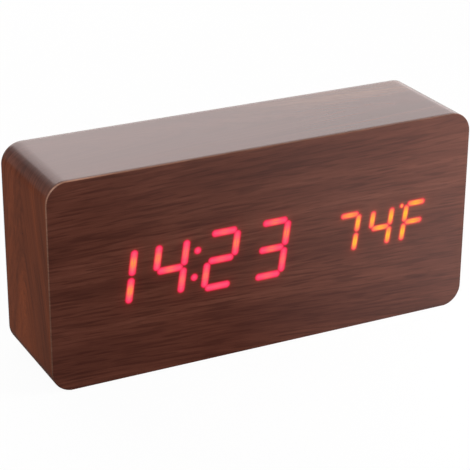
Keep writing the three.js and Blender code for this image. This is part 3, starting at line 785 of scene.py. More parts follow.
    def _shine(self, nodes: Surface, fine: Socket) -> None:
        """Adds the light that seeps through the veneer round the lit bars.

        Args:
            nodes: the material's nodes.
            fine: the fine streaks, which let a little more or less through.
        """
        through = nodes.span(fine, *NOISE_RANGE, self.least_shine, 1.0)
        red = nodes.times(nodes.attribute("halo_time"), through)
        warm = nodes.times(nodes.attribute("halo_temperature"), through)
        glow = nodes.mix(warm, nodes.mix(red, BLACK, self.halo), self.warm_halo)
        nodes.set("Emission Color", glow)
        nodes.set("Emission Strength", 1.0)


@dataclass(frozen=True)
class LitVeneer:
    """Veneer that a lamp shines through: deep at the rim, bright inside and hot over the lamp."""

    name: str
    rim: Colour
    body: Colour
    core: Colour
    hot: Colour
    rim_share: float = 0.34
    unlit: Colour = (0.02, 0.004, 0.004)
    roughness: float = 0.5
    fibre_length: float = 9 * MM
    fibre_width: float = 0.4 * MM
    fibres: tuple[float, ...] = (0.35, 0.65, 0.0, 0.12)

    def build(self) -> Material:
        """Makes the material.

        The mesh holds how near a point is to the bar's spine, which leads from the rim's colour
        over the body's to the core's, and how warm it is, which mixes in the hot colour.
        Stretched noise lets a little of the rim's colour through, as the veneer's fibres do.

        Returns:
            The material.
        """
        nodes = Surface(self.name)
        core = nodes.attribute("core")
        along, _, across = nodes.parts(nodes.place())
        fibre_place = nodes.vector(
            nodes.over(along, self.fibre_length), nodes.over(across, self.fibre_width)
        )
        fibre = nodes.noise(fibre_place, detail=1.0)
        glow = nodes.mix(nodes.span(core, 0.0, self.rim_share), self.rim, self.body)
        glow = nodes.mix(nodes.span(core, self.rim_share, 1.0), glow, self.core)
        glow = nodes.mix(nodes.attribute("warmth"), glow, self.hot)
        glow = nodes.mix(nodes.span(fibre, *self.fibres), glow, self.rim)
        nodes.set("Base Color", self.unlit)
        nodes.set("Roughness", self.roughness)
        nodes.set("Specular IOR Level", 0.0)
        nodes.set("Emission Color", glow)
        nodes.set("Emission Strength", 1.0)
        return nodes.material


@dataclass(frozen=True)
class MouldedPlastic:
    """Injection-moulded plastic with a fine spark-eroded texture."""

    name: str
    colour: Colour
    roughness: float = 0.5
    gloss_spread: float = 0.06
    texture: float = 0.35 * MM
    wide_texture: float = 14 * MM
    paler: float = 1.18
    lift: float = 0.004
    relief: float = 0.012 * MM
    relief_strength: float = 0.6

    def build(self) -> Material:
        """Makes the material: two sizes of noise vary its tone, gloss and relief.

        Returns:
            The material.
        """
        nodes = Surface(self.name)
        place = nodes.place()
        fine = nodes.noise(place, scale=1 / self.texture)
        wide = nodes.noise(place, scale=1 / self.wide_texture)
        pale = tuple(min(1.0, self.paler * v + self.lift) for v in self.colour)
        low, high = self.roughness - self.gloss_spread, self.roughness + self.gloss_spread
        nodes.set("Base Color", nodes.mix(nodes.span(wide, *NOISE_RANGE), self.colour, pale))
        nodes.set("Roughness", nodes.span(fine, *NOISE_RANGE, low, high))
        nodes.set("IOR", 1.5)
        nodes.bump(fine, self.relief, self.relief_strength)
        return nodes.material


@dataclass(frozen=True)
class CellSleeve:
    """The shrunk film round a cell, with a pale band at its nub."""

    name: str = "cell_wrap"
    film: Colour = srgb(46, 58, 70)
    band: Colour = srgb(196, 198, 196)
    shade: Colour = (0.02, 0.02, 0.025)
    most_shade: float = 0.25
    gloss: tuple[float, float] = (0.22, 0.34)
    cloud_size: float = 6 * MM
    relief: float = 0.05 * MM
    relief_strength: float = 0.3

    def build(self) -> Material:
        """Makes the material: noise varies the film's tone and gloss a little.

        Returns:
            The material.
        """
        nodes = Surface(self.name)
        cloud = nodes.noise(nodes.place(), scale=1 / self.cloud_size, detail=3.0)
        shaded = nodes.span(cloud, *NOISE_RANGE, 0.0, self.most_shade)
        film = nodes.mix(shaded, self.film, self.shade)
        nodes.set("Base Color", nodes.mix(nodes.attribute("pale_band"), film, self.band))
        nodes.set("Roughness", nodes.span(cloud, *NOISE_RANGE, *self.gloss))
        nodes.set("IOR", 1.5)
        nodes.bump(cloud, self.relief, self.relief_strength)
        return nodes.material


@dataclass(frozen=True)
class BareMetal:
    """Plated steel with fine scratches."""

    name: str
    colour: Colour
    roughness: float = 0.28
    smoother: float = 0.08
    rougher: float = 0.1
    dull: float = 0.8
    dull_to_bright: tuple[float, ...] = (0.35, 0.65)
    scratch_length: float = 2 * MM
    scratch_width: float = 0.2 * MM

    def build(self) -> Material:
        """Makes the material: stretched noise scratches its tone and gloss.

        Returns:
            The material.
        """
        nodes = Surface(self.name)
        x, y, z = nodes.parts(nodes.place())
        scratch_place = nodes.vector(
            nodes.over(x, self.scratch_length),
            nodes.over(y, self.scratch_width),
            nodes.over(z, self.scratch_width),
        )
        scratched = nodes.noise(scratch_place, detail=3.0)
        dull = tuple(self.dull * v for v in self.colour)
        bright = nodes.span(scratched, *self.dull_to_bright)
        low, high = self.roughness - self.smoother, self.roughness + self.rougher
        nodes.set("Base Color", nodes.mix(bright, dull, self.colour))
        nodes.set("Metallic", 1.0)
        nodes.set("Roughness", nodes.span(scratched, *NOISE_RANGE, low, high))
        return nodes.material


@dataclass(frozen=True)
class Fibreboard:
    """Raw fibreboard: matted fibres of mixed browns."""

    name: str = "fibreboard"
    pale: Colour = srgb(176, 140, 100)
    dark: Colour = srgb(134, 100, 66)
    fibre_size: float = 0.5 * MM
    clump_size: float = 9 * MM
    clumps: tuple[float, ...] = (0.2, 0.8, 0.0, 0.3)
    roughness: float = 0.9
    relief: float = 0.05 * MM
    relief_strength: float = 0.6

    def build(self) -> Material:
        """Makes the material: fine noise draws the fibres and wide noise darkens clumps.

        Returns:
            The material.
        """
        nodes = Surface(self.name)
        place = nodes.place()
        fibres = nodes.noise(place, scale=1 / self.fibre_size, detail=4.0, rough=0.7)
        clumps = nodes.noise(place, scale=1 / self.clump_size)
        tone = nodes.mix(nodes.span(fibres, *NOISE_RANGE), self.dark, self.pale)
        nodes.set("Base Color", nodes.mix(nodes.span(clumps, *self.clumps), tone, self.dark))
        nodes.set("Roughness", self.roughness)
        nodes.bump(fibres, self.relief, self.relief_strength)
        return nodes.material


@dataclass(frozen=True)
class CircuitBoard:
    """Green solder mask over copper tracks."""

    name: str = "circuit_board"
    mask: Colour = srgb(24, 86, 52)
    track: Colour = srgb(44, 122, 74)
    cell_size: float = 3 * MM
    borders: tuple[float, ...] = (0.04, 0.07, 1.0, 0.0)
    roughness: float = 0.35
    relief: float = 0.03 * MM
    relief_strength: float = 0.5

    def build(self) -> Material:
        """Makes the material: the borders of a cell pattern are the tracks.

        Returns:
            The material.
        """
        nodes = Surface(self.name)
        cells = nodes.add("ShaderNodeTexVoronoi", feature="DISTANCE_TO_EDGE")
        nodes.join(nodes.place(), cells.inputs["Vector"])
        nodes.feed(cells.inputs["Scale"], 1 / self.cell_size)
        tracks = nodes.span(cells.outputs["Distance"], *self.borders)
        nodes.set("Base Color", nodes.mix(tracks, self.mask, self.track))
        nodes.set("Roughness", self.roughness)
        nodes.bump(tracks, self.relief, self.relief_strength)
        return nodes.material


class Finish(Enum):
    """The finishes, named as the record's material slots are."""

    FIBREBOARD = "fibreboard"
    CIRCUIT_BOARD = "circuit_board"
    GUIDE = "light_guide"
    BLACK = "housing_plastic"
    BUTTON = "button_plastic"
    COMPONENT = "component_plastic"
    WHITE = "white_plastic"
    SLEEVE = "capacitor_sleeve"
    RIBBON = "ribbon_cable"
    STEEL = "steel"
    CONTACT = "contact_metal"
    CELL = "cell_wrap"

    def build(self) -> Material:
        """Makes the material of this finish.

        Returns:
            The material.
        """
        plastics = {
            Finish.GUIDE: (srgb(226, 220, 220), 0.4),
            Finish.BLACK: (srgb(30, 30, 31), 0.5),
            Finish.BUTTON: (srgb(38, 38, 40), 0.42),
            Finish.COMPONENT: (srgb(34, 34, 36), 0.45),
            Finish.WHITE: (srgb(228, 226, 216), 0.4),
            Finish.SLEEVE: (srgb(38, 56, 92), 0.3),
            Finish.RIBBON: (srgb(160, 160, 160), 0.45),
        }
        others = {
            Finish.FIBREBOARD: Fibreboard(),
            Finish.CIRCUIT_BOARD: CircuitBoard(),
            Finish.STEEL: BareMetal("steel", srgb(200, 202, 206)),
            Finish.CONTACT: BareMetal("contact_metal", srgb(214, 214, 210), 0.22),
            Finish.CELL: CellSleeve(),
        }
        if self in plastics:
            return MouldedPlastic(self.value, *plastics[self]).build()
        return others[self].build()


@dataclass(frozen=True)
class Outline:
    """A rectangle with round corners in X and Z, centred on x = 0 and a height."""

    width: float
    height: float
    radius: float
    centre: float
    corner_steps: int = 18
    side_step: float = 2 * MM

    def steps_across(self) -> int:
        """How many steps half of a long side is cut into."""
        return max(2, round((self.width / 2 - self.radius) / self.side_step))

    def steps_up(self) -> int:
        """How many steps a short side is cut into."""
        return max(2, round((self.height - 2 * self.radius) / self.side_step))

    def _stations(self, across: int, up: int) -> tuple[np.ndarray, np.ndarray, np.ndarray]:
        """The corner centres, the turns and the path lengths of the outline's points.

        The path starts in the middle of the underside and runs towards +X. Each straight
        side is cut into equal steps, and each corner into equal turns.

        Args:
            across: the steps in half a long side.
            up: the steps in a short side.

        Returns:
            Anchor points, outward directions and path lengths, one row or number per point.
        """
        x, z = self.width / 2 - self.radius, self.height / 2 - self.radius
        stops = np.array([(0.0, -z), (x, -z), (x, z), (-x, z), (-x, -z), (0.0, -z)])
        anchors, turns = [stops[:1]], [np.array([-QUARTER])]
        for number, steps in enumerate((across, up, 2 * across, up, across)):
            start, end = stops[number], stops[number + 1]
            turn = (number - 1) * QUARTER
            anchors.append(start + np.linspace(0, 1, steps + 1)[1:, None] * (end - start))
            turns.append(np.full(steps, turn))
            if number < 4:
                anchors.append(np.repeat([end], self.corner_steps, axis=0))
                turns.append(turn + quarter_turn(self.corner_steps)[1:])
        anchors, turns = np.concatenate(anchors), np.concatenate(turns)
        points = anchors + self.radius * np.stack([np.cos(turns), np.sin(turns)], axis=1)
        gaps = np.linalg.norm(np.diff(points, axis=0), axis=1)
        return anchors, turns, np.concatenate([[0.0], np.cumsum(gaps)])

    def sweep(self, profile: np.ndarray) -> tuple[np.ndarray, np.ndarray, int]:
        """Carries a profile round the outline.

        Args:
            profile: rows of an inset from the outline and a depth y.

        Returns:
            The points with the profile's points innermost, their path lengths, and the number
            of stations. The last station repeats the first, so that the grain can wrap.
        """
        anchors, turns, lengths = self._stations(self.steps_across(), self.steps_up())
        reach = self.radius - profile[:, 0]
        x = anchors[:, 0, None] + np.cos(turns)[:, None] * reach
        z = self.centre + anchors[:, 1, None] + np.sin(turns)[:, None] * reach
        y = np.broadcast_to(profile[:, 1], x.shape)
        points = np.stack([x, y, z], axis=-1).reshape(-1, 3)
        return points, np.repeat(lengths, len(profile)), len(turns)

    def rim(self, inset: float, across: int, up: int) -> np.ndarray:
        """The outline's points at an inset, without the repeated last one.

        Args:
            inset: how far inside the outline they lie.
            across: the steps in half a long side.
            up: the steps in a short side.

        Returns:
            One row of x and z for each point.
        """
        anchors, turns, _ = self._stations(across, up)
        reach = self.radius - inset
        points = anchors + reach * np.stack([np.cos(turns), np.sin(turns)], axis=1)
        return (points + [0.0, self.centre])[:-1]


@dataclass(frozen=True)
class DigitStyle:
    """The bars of a seven-segment digit, and the look of what is lit.

    A glow has one strength and one reach for each of its parts, and drop is how far the figures
    lie below the display's middle.
    """

    line_height: float
    line_spacing: float
    bar_width: float
    bar_end: float
    heat_spread: float
    dot_warmth: float
    drop: float
    glow: tuple[tuple[float, float], ...]

    def bars(self) -> dict[str, tuple[float, float, float, float]]:
        """Lays out the seven bars.

        Returns:
            Each bar's spine, from one end to the other, as x and z in the upright digit.
        """
        x, z = self.line_spacing / 2, self.line_height / 2
        gap = self.bar_end + self.bar_width / 2
        return {
            "a": (-x + gap, z, x - gap, z),
            "b": (x, gap, x, z - gap),
            "c": (x, -z + gap, x, -gap),
            "d": (-x + gap, -z, x - gap, -z),
            "e": (-x, -z + gap, -x, -gap),
            "f": (-x, gap, -x, z - gap),
            "g": (-x + gap, 0.0, x - gap, 0.0),
        }


@dataclass(frozen=True)
class Sign:
    """One place of the display: which bars are lit, how warm each looks, and any dots.

    A dot is its x and z in the upright sign and its radius.
    """

    name: str
    centre: float
    bars: dict[str, float] = field(default_factory=dict)
    dots: tuple[tuple[float, float, float], ...] = ()


TIME_STYLE = DigitStyle(
    line_height=18.3 * MM,
    line_spacing=9.5 * MM,
    bar_width=2.5 * MM,
    bar_end=0.26 * MM,
    heat_spread=0.2,
    dot_warmth=0.0,
    drop=0.0,
    glow=((0.36, 0.14 * MM), (0.06, 1.3 * MM)),
)
TIME_SIGNS = (
    Sign("hour_tens_lit", -52.55 * MM, {"b": 1.0, "c": 1.0}),
    Sign("hour_ones_lit", -34.72 * MM, {"f": 0.7, "b": 0.4, "g": 0.5, "c": 0.4}),
    Sign(
        "colon_lit",
        -25.75 * MM,
        dots=((0.0, 4.5 * MM, 1.25 * MM), (0.0, -4.5 * MM, 1.25 * MM)),
    ),
    Sign("minute_tens_lit", -17.0 * MM, {"a": 0.3, "b": 0.7, "g": 0.25, "e": 0.45, "d": 0.1}),
    Sign("minute_ones_lit", 1.06 * MM, {"a": 0.5, "b": 0.8, "g": 0.5, "c": 0.35, "d": 0.25}),
)
TEMPERATURE_STYLE = DigitStyle(
    line_height=12.9 * MM,
    line_spacing=7.1 * MM,
    bar_width=2.05 * MM,
    bar_end=0.12 * MM,
    heat_spread=0.3,
    dot_warmth=0.5,
    drop=0.2 * MM,
    glow=((0.38, 0.2 * MM), (0.06, 1.4 * MM)),
)
TEMPERATURE_SIGNS = (
    Sign("temperature_tens_lit", 29.0 * MM, {"a": 0.5, "b": 0.9, "c": 1.0}),
    Sign("temperature_ones_lit", 41.65 * MM, {"f": 0.8, "b": 0.9, "g": 0.8, "c": 1.0}),
    Sign(
        "unit_lit",
        54.35 * MM,
        {"a": 0.8, "f": 1.0, "g": 0.7, "e": 1.0},
        ((-5.5 * MM, 6.2 * MM, 0.85 * MM),),
    ),
)


@dataclass(frozen=True)
class Lights:
    """Signs that share a style, a height and a lean, such as the figures of the time."""

    signs: tuple[Sign, ...]
    style: DigitStyle
    front: float
    centre: float
    slant: float = math.tan(math.radians(8))
    thickness: float = 0.02 * MM
    rings: int = 7
    round_steps: int = 12
    side_steps: int = 10

    def _spines(self, sign: Sign) -> list[tuple[np.ndarray, float, float]]:
        """Places the bars and dots of a sign, with their lean.

        Args:
            sign: the sign.

        Returns:
            Each mark's two ends as rows of x and z, its half width and its warmth.
        """
        style = self.style
        bars = style.bars()
        marks = [(bars[bar], style.bar_width / 2, warmth) for bar, warmth in sign.bars.items()]
        marks += [((x, z, x, z), radius, style.dot_warmth) for x, z, radius in sign.dots]
        placed = []
        for ends, half, warmth in marks:
            upright = np.array(ends).reshape(2, 2)
            x = upright[:, 0] + (sign.centre + self.slant * upright[:, 1])
            z = upright[:, 1] + (self.centre - style.drop)
            placed.append((np.stack([x, z], axis=1), half, warmth))
        return placed

    def halo(self, x: np.ndarray, z: np.ndarray) -> np.ndarray:
        """How much light seeps out at points of the front.

        It is the sum of a short and a long glow, which fall off exponentially with the distance
        to the nearest lit mark.

        Args:
            x: the points' x.
            z: the points' z.

        Returns:
            A share from 0 to 1 for each point.
        """
        nearest = np.full(x.shape, np.inf)
        for sign in self.signs:
            for ends, half, _ in self._spines(sign):
                start, way = ends[0], ends[1] - ends[0]
                square = max(float(way @ way), 1e-12)
                share = np.clip(((x - start[0]) * way[0] + (z - start[1]) * way[1]) / square, 0, 1)
                aside = np.hypot(x - start[0] - share * way[0], z - start[1] - share * way[1])
                nearest = np.minimum(nearest, aside - half)
        outside = np.maximum(nearest, 0)
        return sum(share * np.exp(-outside / reach) for share, reach in self.style.glow)

    def _mark(
        self, ends: np.ndarray, half: float, warmth: float
    ) -> tuple[Mesh, np.ndarray, np.ndarray]:
        """Makes the lens over one bar or dot.

        A ring of points runs along one side of the spine, round its end, back along the other
        side and round the start. Such rings lie at growing shares of the half width. Their
        depth follows a quarter circle, so that the lens is a very flat dome with a flat back.
        The warmth falls off as a bell curve along the spine and fades near the rim.

        Args:
            ends: the spine's two ends.
            half: half the bar's width.
            warmth: how much of the hot colour shows over the lamp.

        Returns:
            The lens, and for each point how near it is to the spine and how warm it is.
        """
        way = ends[1] - ends[0]
        length = float(np.hypot(*way))
        lead = way / length if length > 0 else np.array([1.0, 0.0])
        side = np.array([-lead[1], lead[0]])
        bow = (np.arange(self.round_steps) + 0.5) / self.round_steps * math.pi - QUARTER
        run = (np.arange(self.side_steps) + 0.5) / self.side_steps
        straight = np.full(run.size, QUARTER)
        turns = np.concatenate([-straight, bow, straight, bow + math.pi])
        shares_along = np.concatenate([run, np.ones(bow.size), run[::-1], np.zeros(bow.size)])
        out = np.cos(turns)[:, None] * lead + np.sin(turns)[:, None] * side
        anchors = ends[0] + shares_along[:, None] * way
        shares = np.linspace(0.0, 1.0, self.rings + 1)[1:]
        flat = anchors[None] + half * shares[:, None, None] * out[None]
        depth = -self.thickness * np.sqrt(np.maximum(0, 1 - shares**2))
        y = np.broadcast_to((self.front + self.thickness + depth)[:, None], flat.shape[:2])
        points = np.stack([flat[..., 0], y, flat[..., 1]], axis=-1).reshape(-1, 3)
        ring = np.arange(turns.size)
        outer = (self.rings - 1) * turns.size
        faces = [tube_faces(self.rings, turns.size), ring[None, ::-1], outer + ring[None]]
        core = np.repeat(1 - shares, turns.size)
        along = (flat.reshape(-1, 2) - ends.mean(axis=0)) @ lead
        spread = self.style.heat_spread * (length + 2 * half)
        return (points, faces), core, warmth * bell(along, 0.0, spread) * (1 - (1 - core) ** 2)

    def build(self, material: Material) -> list[Piece]:
        """Makes a piece of each sign from the lenses over its marks.

        Args:
            material: the finish.

        Returns:
            The pieces.
        """
        made = []
        for sign in self.signs:
            lenses, cores, heats = zip(*(self._mark(*spine) for spine in self._spines(sign)))
            points, faces = joined(lenses)
            values = {"core": np.concatenate(cores), "warmth": np.concatenate(heats)}
            made.append(facing_out(make_piece(sign.name, points, faces, material, values=values)))
        return made


@dataclass
class Display:
    """The lit time and the lit temperature, which show through the front veneer."""

    front: float
    centre: float
    time_look: LitVeneer = LitVeneer(
        "lit_time",
        rim=srgb(228, 22, 62),
        body=srgb(255, 60, 102),
        core=srgb(255, 88, 126),
        hot=srgb(255, 160, 66),
    )
    temperature_look: LitVeneer = LitVeneer(
        "lit_temperature",
        rim=srgb(238, 30, 76),
        body=srgb(255, 100, 98),
        core=srgb(255, 132, 84),
        hot=srgb(255, 216, 46),
        rim_share=0.55,
    )

    def __post_init__(self) -> None:
        """Places both groups of signs."""
        self.time = Lights(TIME_SIGNS, TIME_STYLE, self.front, self.centre)
        degrees = (TEMPERATURE_SIGNS, TEMPERATURE_STYLE)
        self.temperature = Lights(*degrees, self.front, self.centre)

    def sheet_front(self) -> float:
        """The y of the veneer just behind the lenses."""
        return self.front + self.time.thickness

    def build(self) -> list[Piece]:
        """Makes a piece of every lit sign and returns them."""
        made = self.time.build(self.time_look.build())
        return made + self.temperature.build(self.temperature_look.build())


@dataclass(frozen=True)
class BandGrain:
    """How the grain of the band of veneer runs, and where its tone changes.

    The band is one sheet. Shares ending in warmth and loss add to or take from the warm tone of
    the left end, and the other shares are the most that a tone or the painted sheen reaches on
    the top.
    """

    low: Vector
    high: Vector
    corner: float
    pith_y: float = 2.6 * MM
    pith_depth: float = 4 * MM
    pith_drift: float = -0.07
    drift_from: float = -20 * MM
    slow_taper: float = 0.12
    fast_taper: float = 0.07
    flame_middle: float = 0.75
    flame_reach: float = 52.5 * MM
    flame_layer: float = -38.2 * MM
    flame_blur: float = 0.9 * MM
    leg_slide: float = 6.0
    streak_layer: float = -24.2 * MM
    streak_width: float = 1.8 * MM
    streak_from: float = -5 * MM
    outline_gap: float = 1.5 * MM
    outline_width: float = 0.8 * MM
    shade_from: float = -5 * MM
    shade_fade: float = 9 * MM
    end_below: float = 0.7 * MM
    end_fade: float = 7.5 * MM
    end_warmth: float = 0.68
    flame_warmth: float = 0.42
    streak_warmth: float = 0.28
    shade_loss: float = 0.18
    outline_loss: float = 0.16
    top_band: float = 2 * MM
    top_fade: float = 1.8 * MM
    pale_share: float = 0.42
    pale_from: float = -5 * MM
    pale_fade: float = 30 * MM
    pale_y: float = 14 * MM
    pale_width: float = 7 * MM
    quiet_share: float = 0.45
    quiet_fade: float = 60 * MM
    # How much painted sheen the top's left gets, and over what distance it fades.
    painted_sheen_share: float = 0.34
    painted_sheen_fade: float = 120 * MM
    left_until: float = 50 * MM

    def _off(self, points: np.ndarray) -> np.ndarray:
        """How far behind the pith line each point lies. The line drifts forward to the right."""
        drift = self.pith_drift * np.clip(points[:, 0] - self.drift_from, 0, None)
        return points[:, 1] - self.pith_y - drift

    def layers(self, points: np.ndarray, lengths: np.ndarray) -> tuple[np.ndarray, np.ndarray]:
        """The grain coordinates of the band.

        A growth layer's number is the distance from the pith line less a depth that grows along
        the band: slowly almost everywhere, and faster down the left end, by a raised sine wave.
        That draws arches there and nearly straight grain elsewhere. The second leg of each arch
        is slid along the grain, so that the two legs differ.

        Args:
            points: the band's points.
            lengths: each point's path length along the band.

        Returns:
            Each point's place along the grain, and its layer.
        """
        middle = self.flame_middle * lengths.max()
        turn = ramp(lengths, middle - self.flame_reach, 2 * self.flame_reach)
        fast = 2 * self.flame_reach * (turn - np.sin(FULL_TURN * turn) / FULL_TURN)
        depth = self.slow_taper * lengths + self.fast_taper * fast
        off = self._off(points)
        return lengths + self.leg_slide * off, np.sqrt(off**2 + self.pith_depth**2) - depth

    def tones(self, points: np.ndarray, layer: np.ndarray) -> dict[str, np.ndarray]:
        """Where the band is warm, pale or quiet, and where a sheen is painted on it.

        The left end is warm, more so inside the flame and along one streak, and less so on the
        flame's outline and towards the front. It fades in below the top by a smooth step. The
        top is pale towards the right and the back, and quiet towards the left, where a painted
        sheen, a painted reflection of the lacquer, also lies.

        Args:
            points: the band's points.
            layer: each point's growth layer.

        Returns:
            A share from 0 to 1 for each point, by tone.
        """
        x, y, z = points.T
        flame = 1 / (1 + np.exp((layer - self.flame_layer) / self.flame_blur))
        outline = bell(layer, self.flame_layer + self.outline_gap, self.outline_width)
        streak = bell(layer, self.streak_layer, self.streak_width)
        streak = streak * (self._off(points) < self.streak_from)
        shade = ramp(y, self.shade_from, -self.shade_fade)
        below = ramp(z, self.high.z - self.end_below, -self.end_fade)
        on_end = (x < self.low.x + self.corner) * below * below * (3 - 2 * below)
        warm = self.end_warmth + self.flame_warmth * flame + self.streak_warmth * streak
        warm = on_end * (warm - self.shade_loss * shade - self.outline_loss * outline)
        on_top = ramp(z, self.high.z - self.top_band, self.top_fade)
        rear_right = ramp(x, self.pale_from, self.pale_fade) * bell(y, self.pale_y, self.pale_width)
        return {
            "warm": np.clip(warm, 0, 1),
            "pale": self.pale_share * on_top * rear_right,
            "quiet": self.quiet_share * on_top * ramp(x, self.left_until, -self.quiet_fade),
            # A painted sheen, a painted reflection of the lacquer, strongest on the top's left.
            "painted_sheen": self.painted_sheen_share * on_top * ramp(x, self.left_until, -self.painted_sheen_fade),
        }


@dataclass
class CaseShell:
    """The veneered outside of the case."""

    display: Display
    skin: float = 0.6 * MM
    corner: float = 7 * MM
    seam: float = 0.12 * MM
    seam_steps: int = 3
    wrap_steps: int = 40
    wrap_wear: float = 0.12
    wrap_wear_reach: float = 0.2 * MM
    ease: float = 0.3 * MM
    ease_steps: int = 5
    # The worn edge colour round the front's rim, and a painted highlight on it that is strongest at
    # the upper left corner and fades with distance.
    rim_wear: float = 0.18
    rim_highlight: float = 0.85
    rim_highlight_fade: float = 28 * MM
    low_lean: float = -0.07
    high_lean: float = 0.03
    # The painted sheen on the front: its most, where it starts, and how far it takes to grow.
    front_painted_sheen: float = 0.055
    front_painted_sheen_from: float = -10 * MM
    front_painted_sheen_fade: float = 80 * MM
    display_share: float = 0.83
    display_half: float = 13 * MM
    fine_step: float = 0.42 * MM
    coarse_step: float = 1.2 * MM
    corner_rows: int = 14
    opening_gap: float = 0.3 * MM
    plate_corner: float = 3 * MM
    rear_wear: float = 0.5
    opening_wear: float = 0.3
    rear_rings: int = 7

    def __post_init__(self) -> None:
        """Reads the case's size from its solids."""
        low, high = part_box("wrap_veneer")
        self.low, self.high = low, high
        self.outline = Outline(high.x - low.x, high.z - low.z, self.corner, (low.z + high.z) / 2)

    def wrap(self, material: Material) -> Piece:
        """Makes the band of veneer round the top, ends and underside.

        A closed profile with rounded front and back edges is carried round the outline.

        Args:
            material: the finish.

        Returns:
            The band.
        """
        low, high = self.low.y, self.high.y
        turns = quarter_turn(self.seam_steps)
        insets = self.seam * (1 - np.cos(turns))
        back = np.stack([insets, high - self.seam * (1 - np.sin(turns))], axis=1)
        front = np.stack([insets, low + high - back[:, 1]], axis=1)[::-1]
        depths = np.linspace(low, high, self.wrap_steps)[1:-1]
        middle = np.stack([np.zeros(depths.size), depths], axis=1)
        inner = np.array([(self.skin, high), (self.skin, low)])
        profile = np.concatenate([front, middle, back, inner])
        points, lengths, stations = self.outline.sweep(profile)
        grain = BandGrain(self.low, self.high, self.corner)
        along, layer = grain.layers(points, lengths)
        edge = np.minimum(points[:, 1] - low, high - points[:, 1])
        values = {
            "wear_and_highlight": self.wrap_wear * np.exp(-edge / self.wrap_wear_reach),
            **grain.tones(points, layer),
        }
        faces = [tube_faces(stations, len(profile))]
        uv = np.stack([along, layer], axis=1)
        piece = make_piece("walnut_wrap", points, faces, material, uv, values)
        return facing_out(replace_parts(piece, "wrap_veneer"))

    def _columns(self) -> np.ndarray:
        """Spaces the front's columns, closer together over the display.

        Returns:
            Shares of the half width.
        """
        most, width = self.display_share, self.outline.width
        fine = np.linspace(-most, most, round(most * width / self.fine_step))
        ends = np.linspace(most, 1.0, round((1 - most) * width / 2 / self.coarse_step) + 1)[1:]
        return np.concatenate([-ends[::-1], fine, ends])

    def _rows(self) -> np.ndarray:
        """Spaces the front's rows: by turns of the corners, and closer over the display.

        Returns:
            Heights over the middle.
        """
        half, display = self.outline.height / 2, self.display_half
        top = half - self.corner * (1 - np.cos(quarter_turn(self.corner_rows)[1:]))
        reach = half - self.corner
        fine = np.linspace(-display, display, round(2 * display / self.fine_step))
        steps = round((reach - display) / self.coarse_step)
        upper = np.linspace(display, reach, steps + 1)[1:-1]
        side = np.concatenate([upper, top[::-1]])
        return np.concatenate([-side[::-1], fine, side])

    def _fan(self, places: np.ndarray) -> np.ndarray:
        """The front's grain coordinates.

        The streaks fan out, from falling low down to rising high up: the number across the
        grain is the height less x times a lean that grows with the height.

        Args:
            places: rows of x and z.

        Returns:
            One row of two grain coordinates for each place.
        """
        x, z = places.T
        share = (z - self.low.z) / (self.high.z - self.low.z)
        lean = self.low_lean + (self.high_lean - self.low_lean) * share
        return np.stack([x, z - lean * x], axis=1)

    def _sheet(self) -> tuple[np.ndarray, np.ndarray, np.ndarray]:
        """The flat part of the front.

        Each row of points is as wide as the outline, less the eased rim, at the row's height.

        Returns:
            The points, the faces, and the numbers of the points round the border.
        """
        shape, inset = self.outline, self.ease
        half_height, radius = shape.height / 2 - inset, self.corner - inset
        rows = self._rows() * half_height / (shape.height / 2)
        over = np.maximum(0, np.abs(rows) - (half_height - radius))
        widths = shape.width / 2 - inset - radius + np.sqrt(np.maximum(0, radius**2 - over**2))
        x = widths[:, None] * self._columns()[None, :]
        y = np.full(x.shape, self.display.sheet_front())
        z = np.broadcast_to(shape.centre + rows[:, None], x.shape)
        index = np.arange(x.size).reshape(x.shape)
        quads = np.stack([index[:-1, :-1], index[:-1, 1:], index[1:, 1:], index[1:, :-1]], axis=-1)
        border = [index[0, :-1], index[:-1, -1], index[-1, :0:-1], index[:0:-1, 0]]
        points = np.stack([x, y, z], axis=-1).reshape(-1, 3)
        return points, quads.reshape(-1, 4), np.concatenate(border)

    def front(self, material: Material) -> Piece:
        """Makes the front veneer: a fine flat sheet with an eased rim and a flat back.

        The rim turns through a quarter circle from the sheet's border to the full outline, away
        from the nearest corner's centre. Its pale edge colour is wear all round, with a painted
        highlight added that is strongest near the upper left corner.

        Args:
            material: the finish.

        Returns:
            The front.
        """
        sheet, quads, border = self._sheet()
        y_front, y_back = self.display.sheet_front(), self.low.y
        rim = sheet[border][:, [0, 2]]
        relative = rim - [0.0, self.outline.centre]
        corner_centre = np.array([self.outline.width, self.outline.height]) / 2 - self.corner
        outside = relative - np.clip(relative, -corner_centre, corner_centre)
        outward = outside / np.linalg.norm(outside, axis=1, keepdims=True)
        turns = quarter_turn(self.ease_steps)[1:, None]
        x, z = (rim[:, i] + self.ease * np.sin(turns) * outward[:, i] for i in (0, 1))
        y = np.broadcast_to(y_front + (y_back - y_front) * (1 - np.cos(turns)), x.shape)
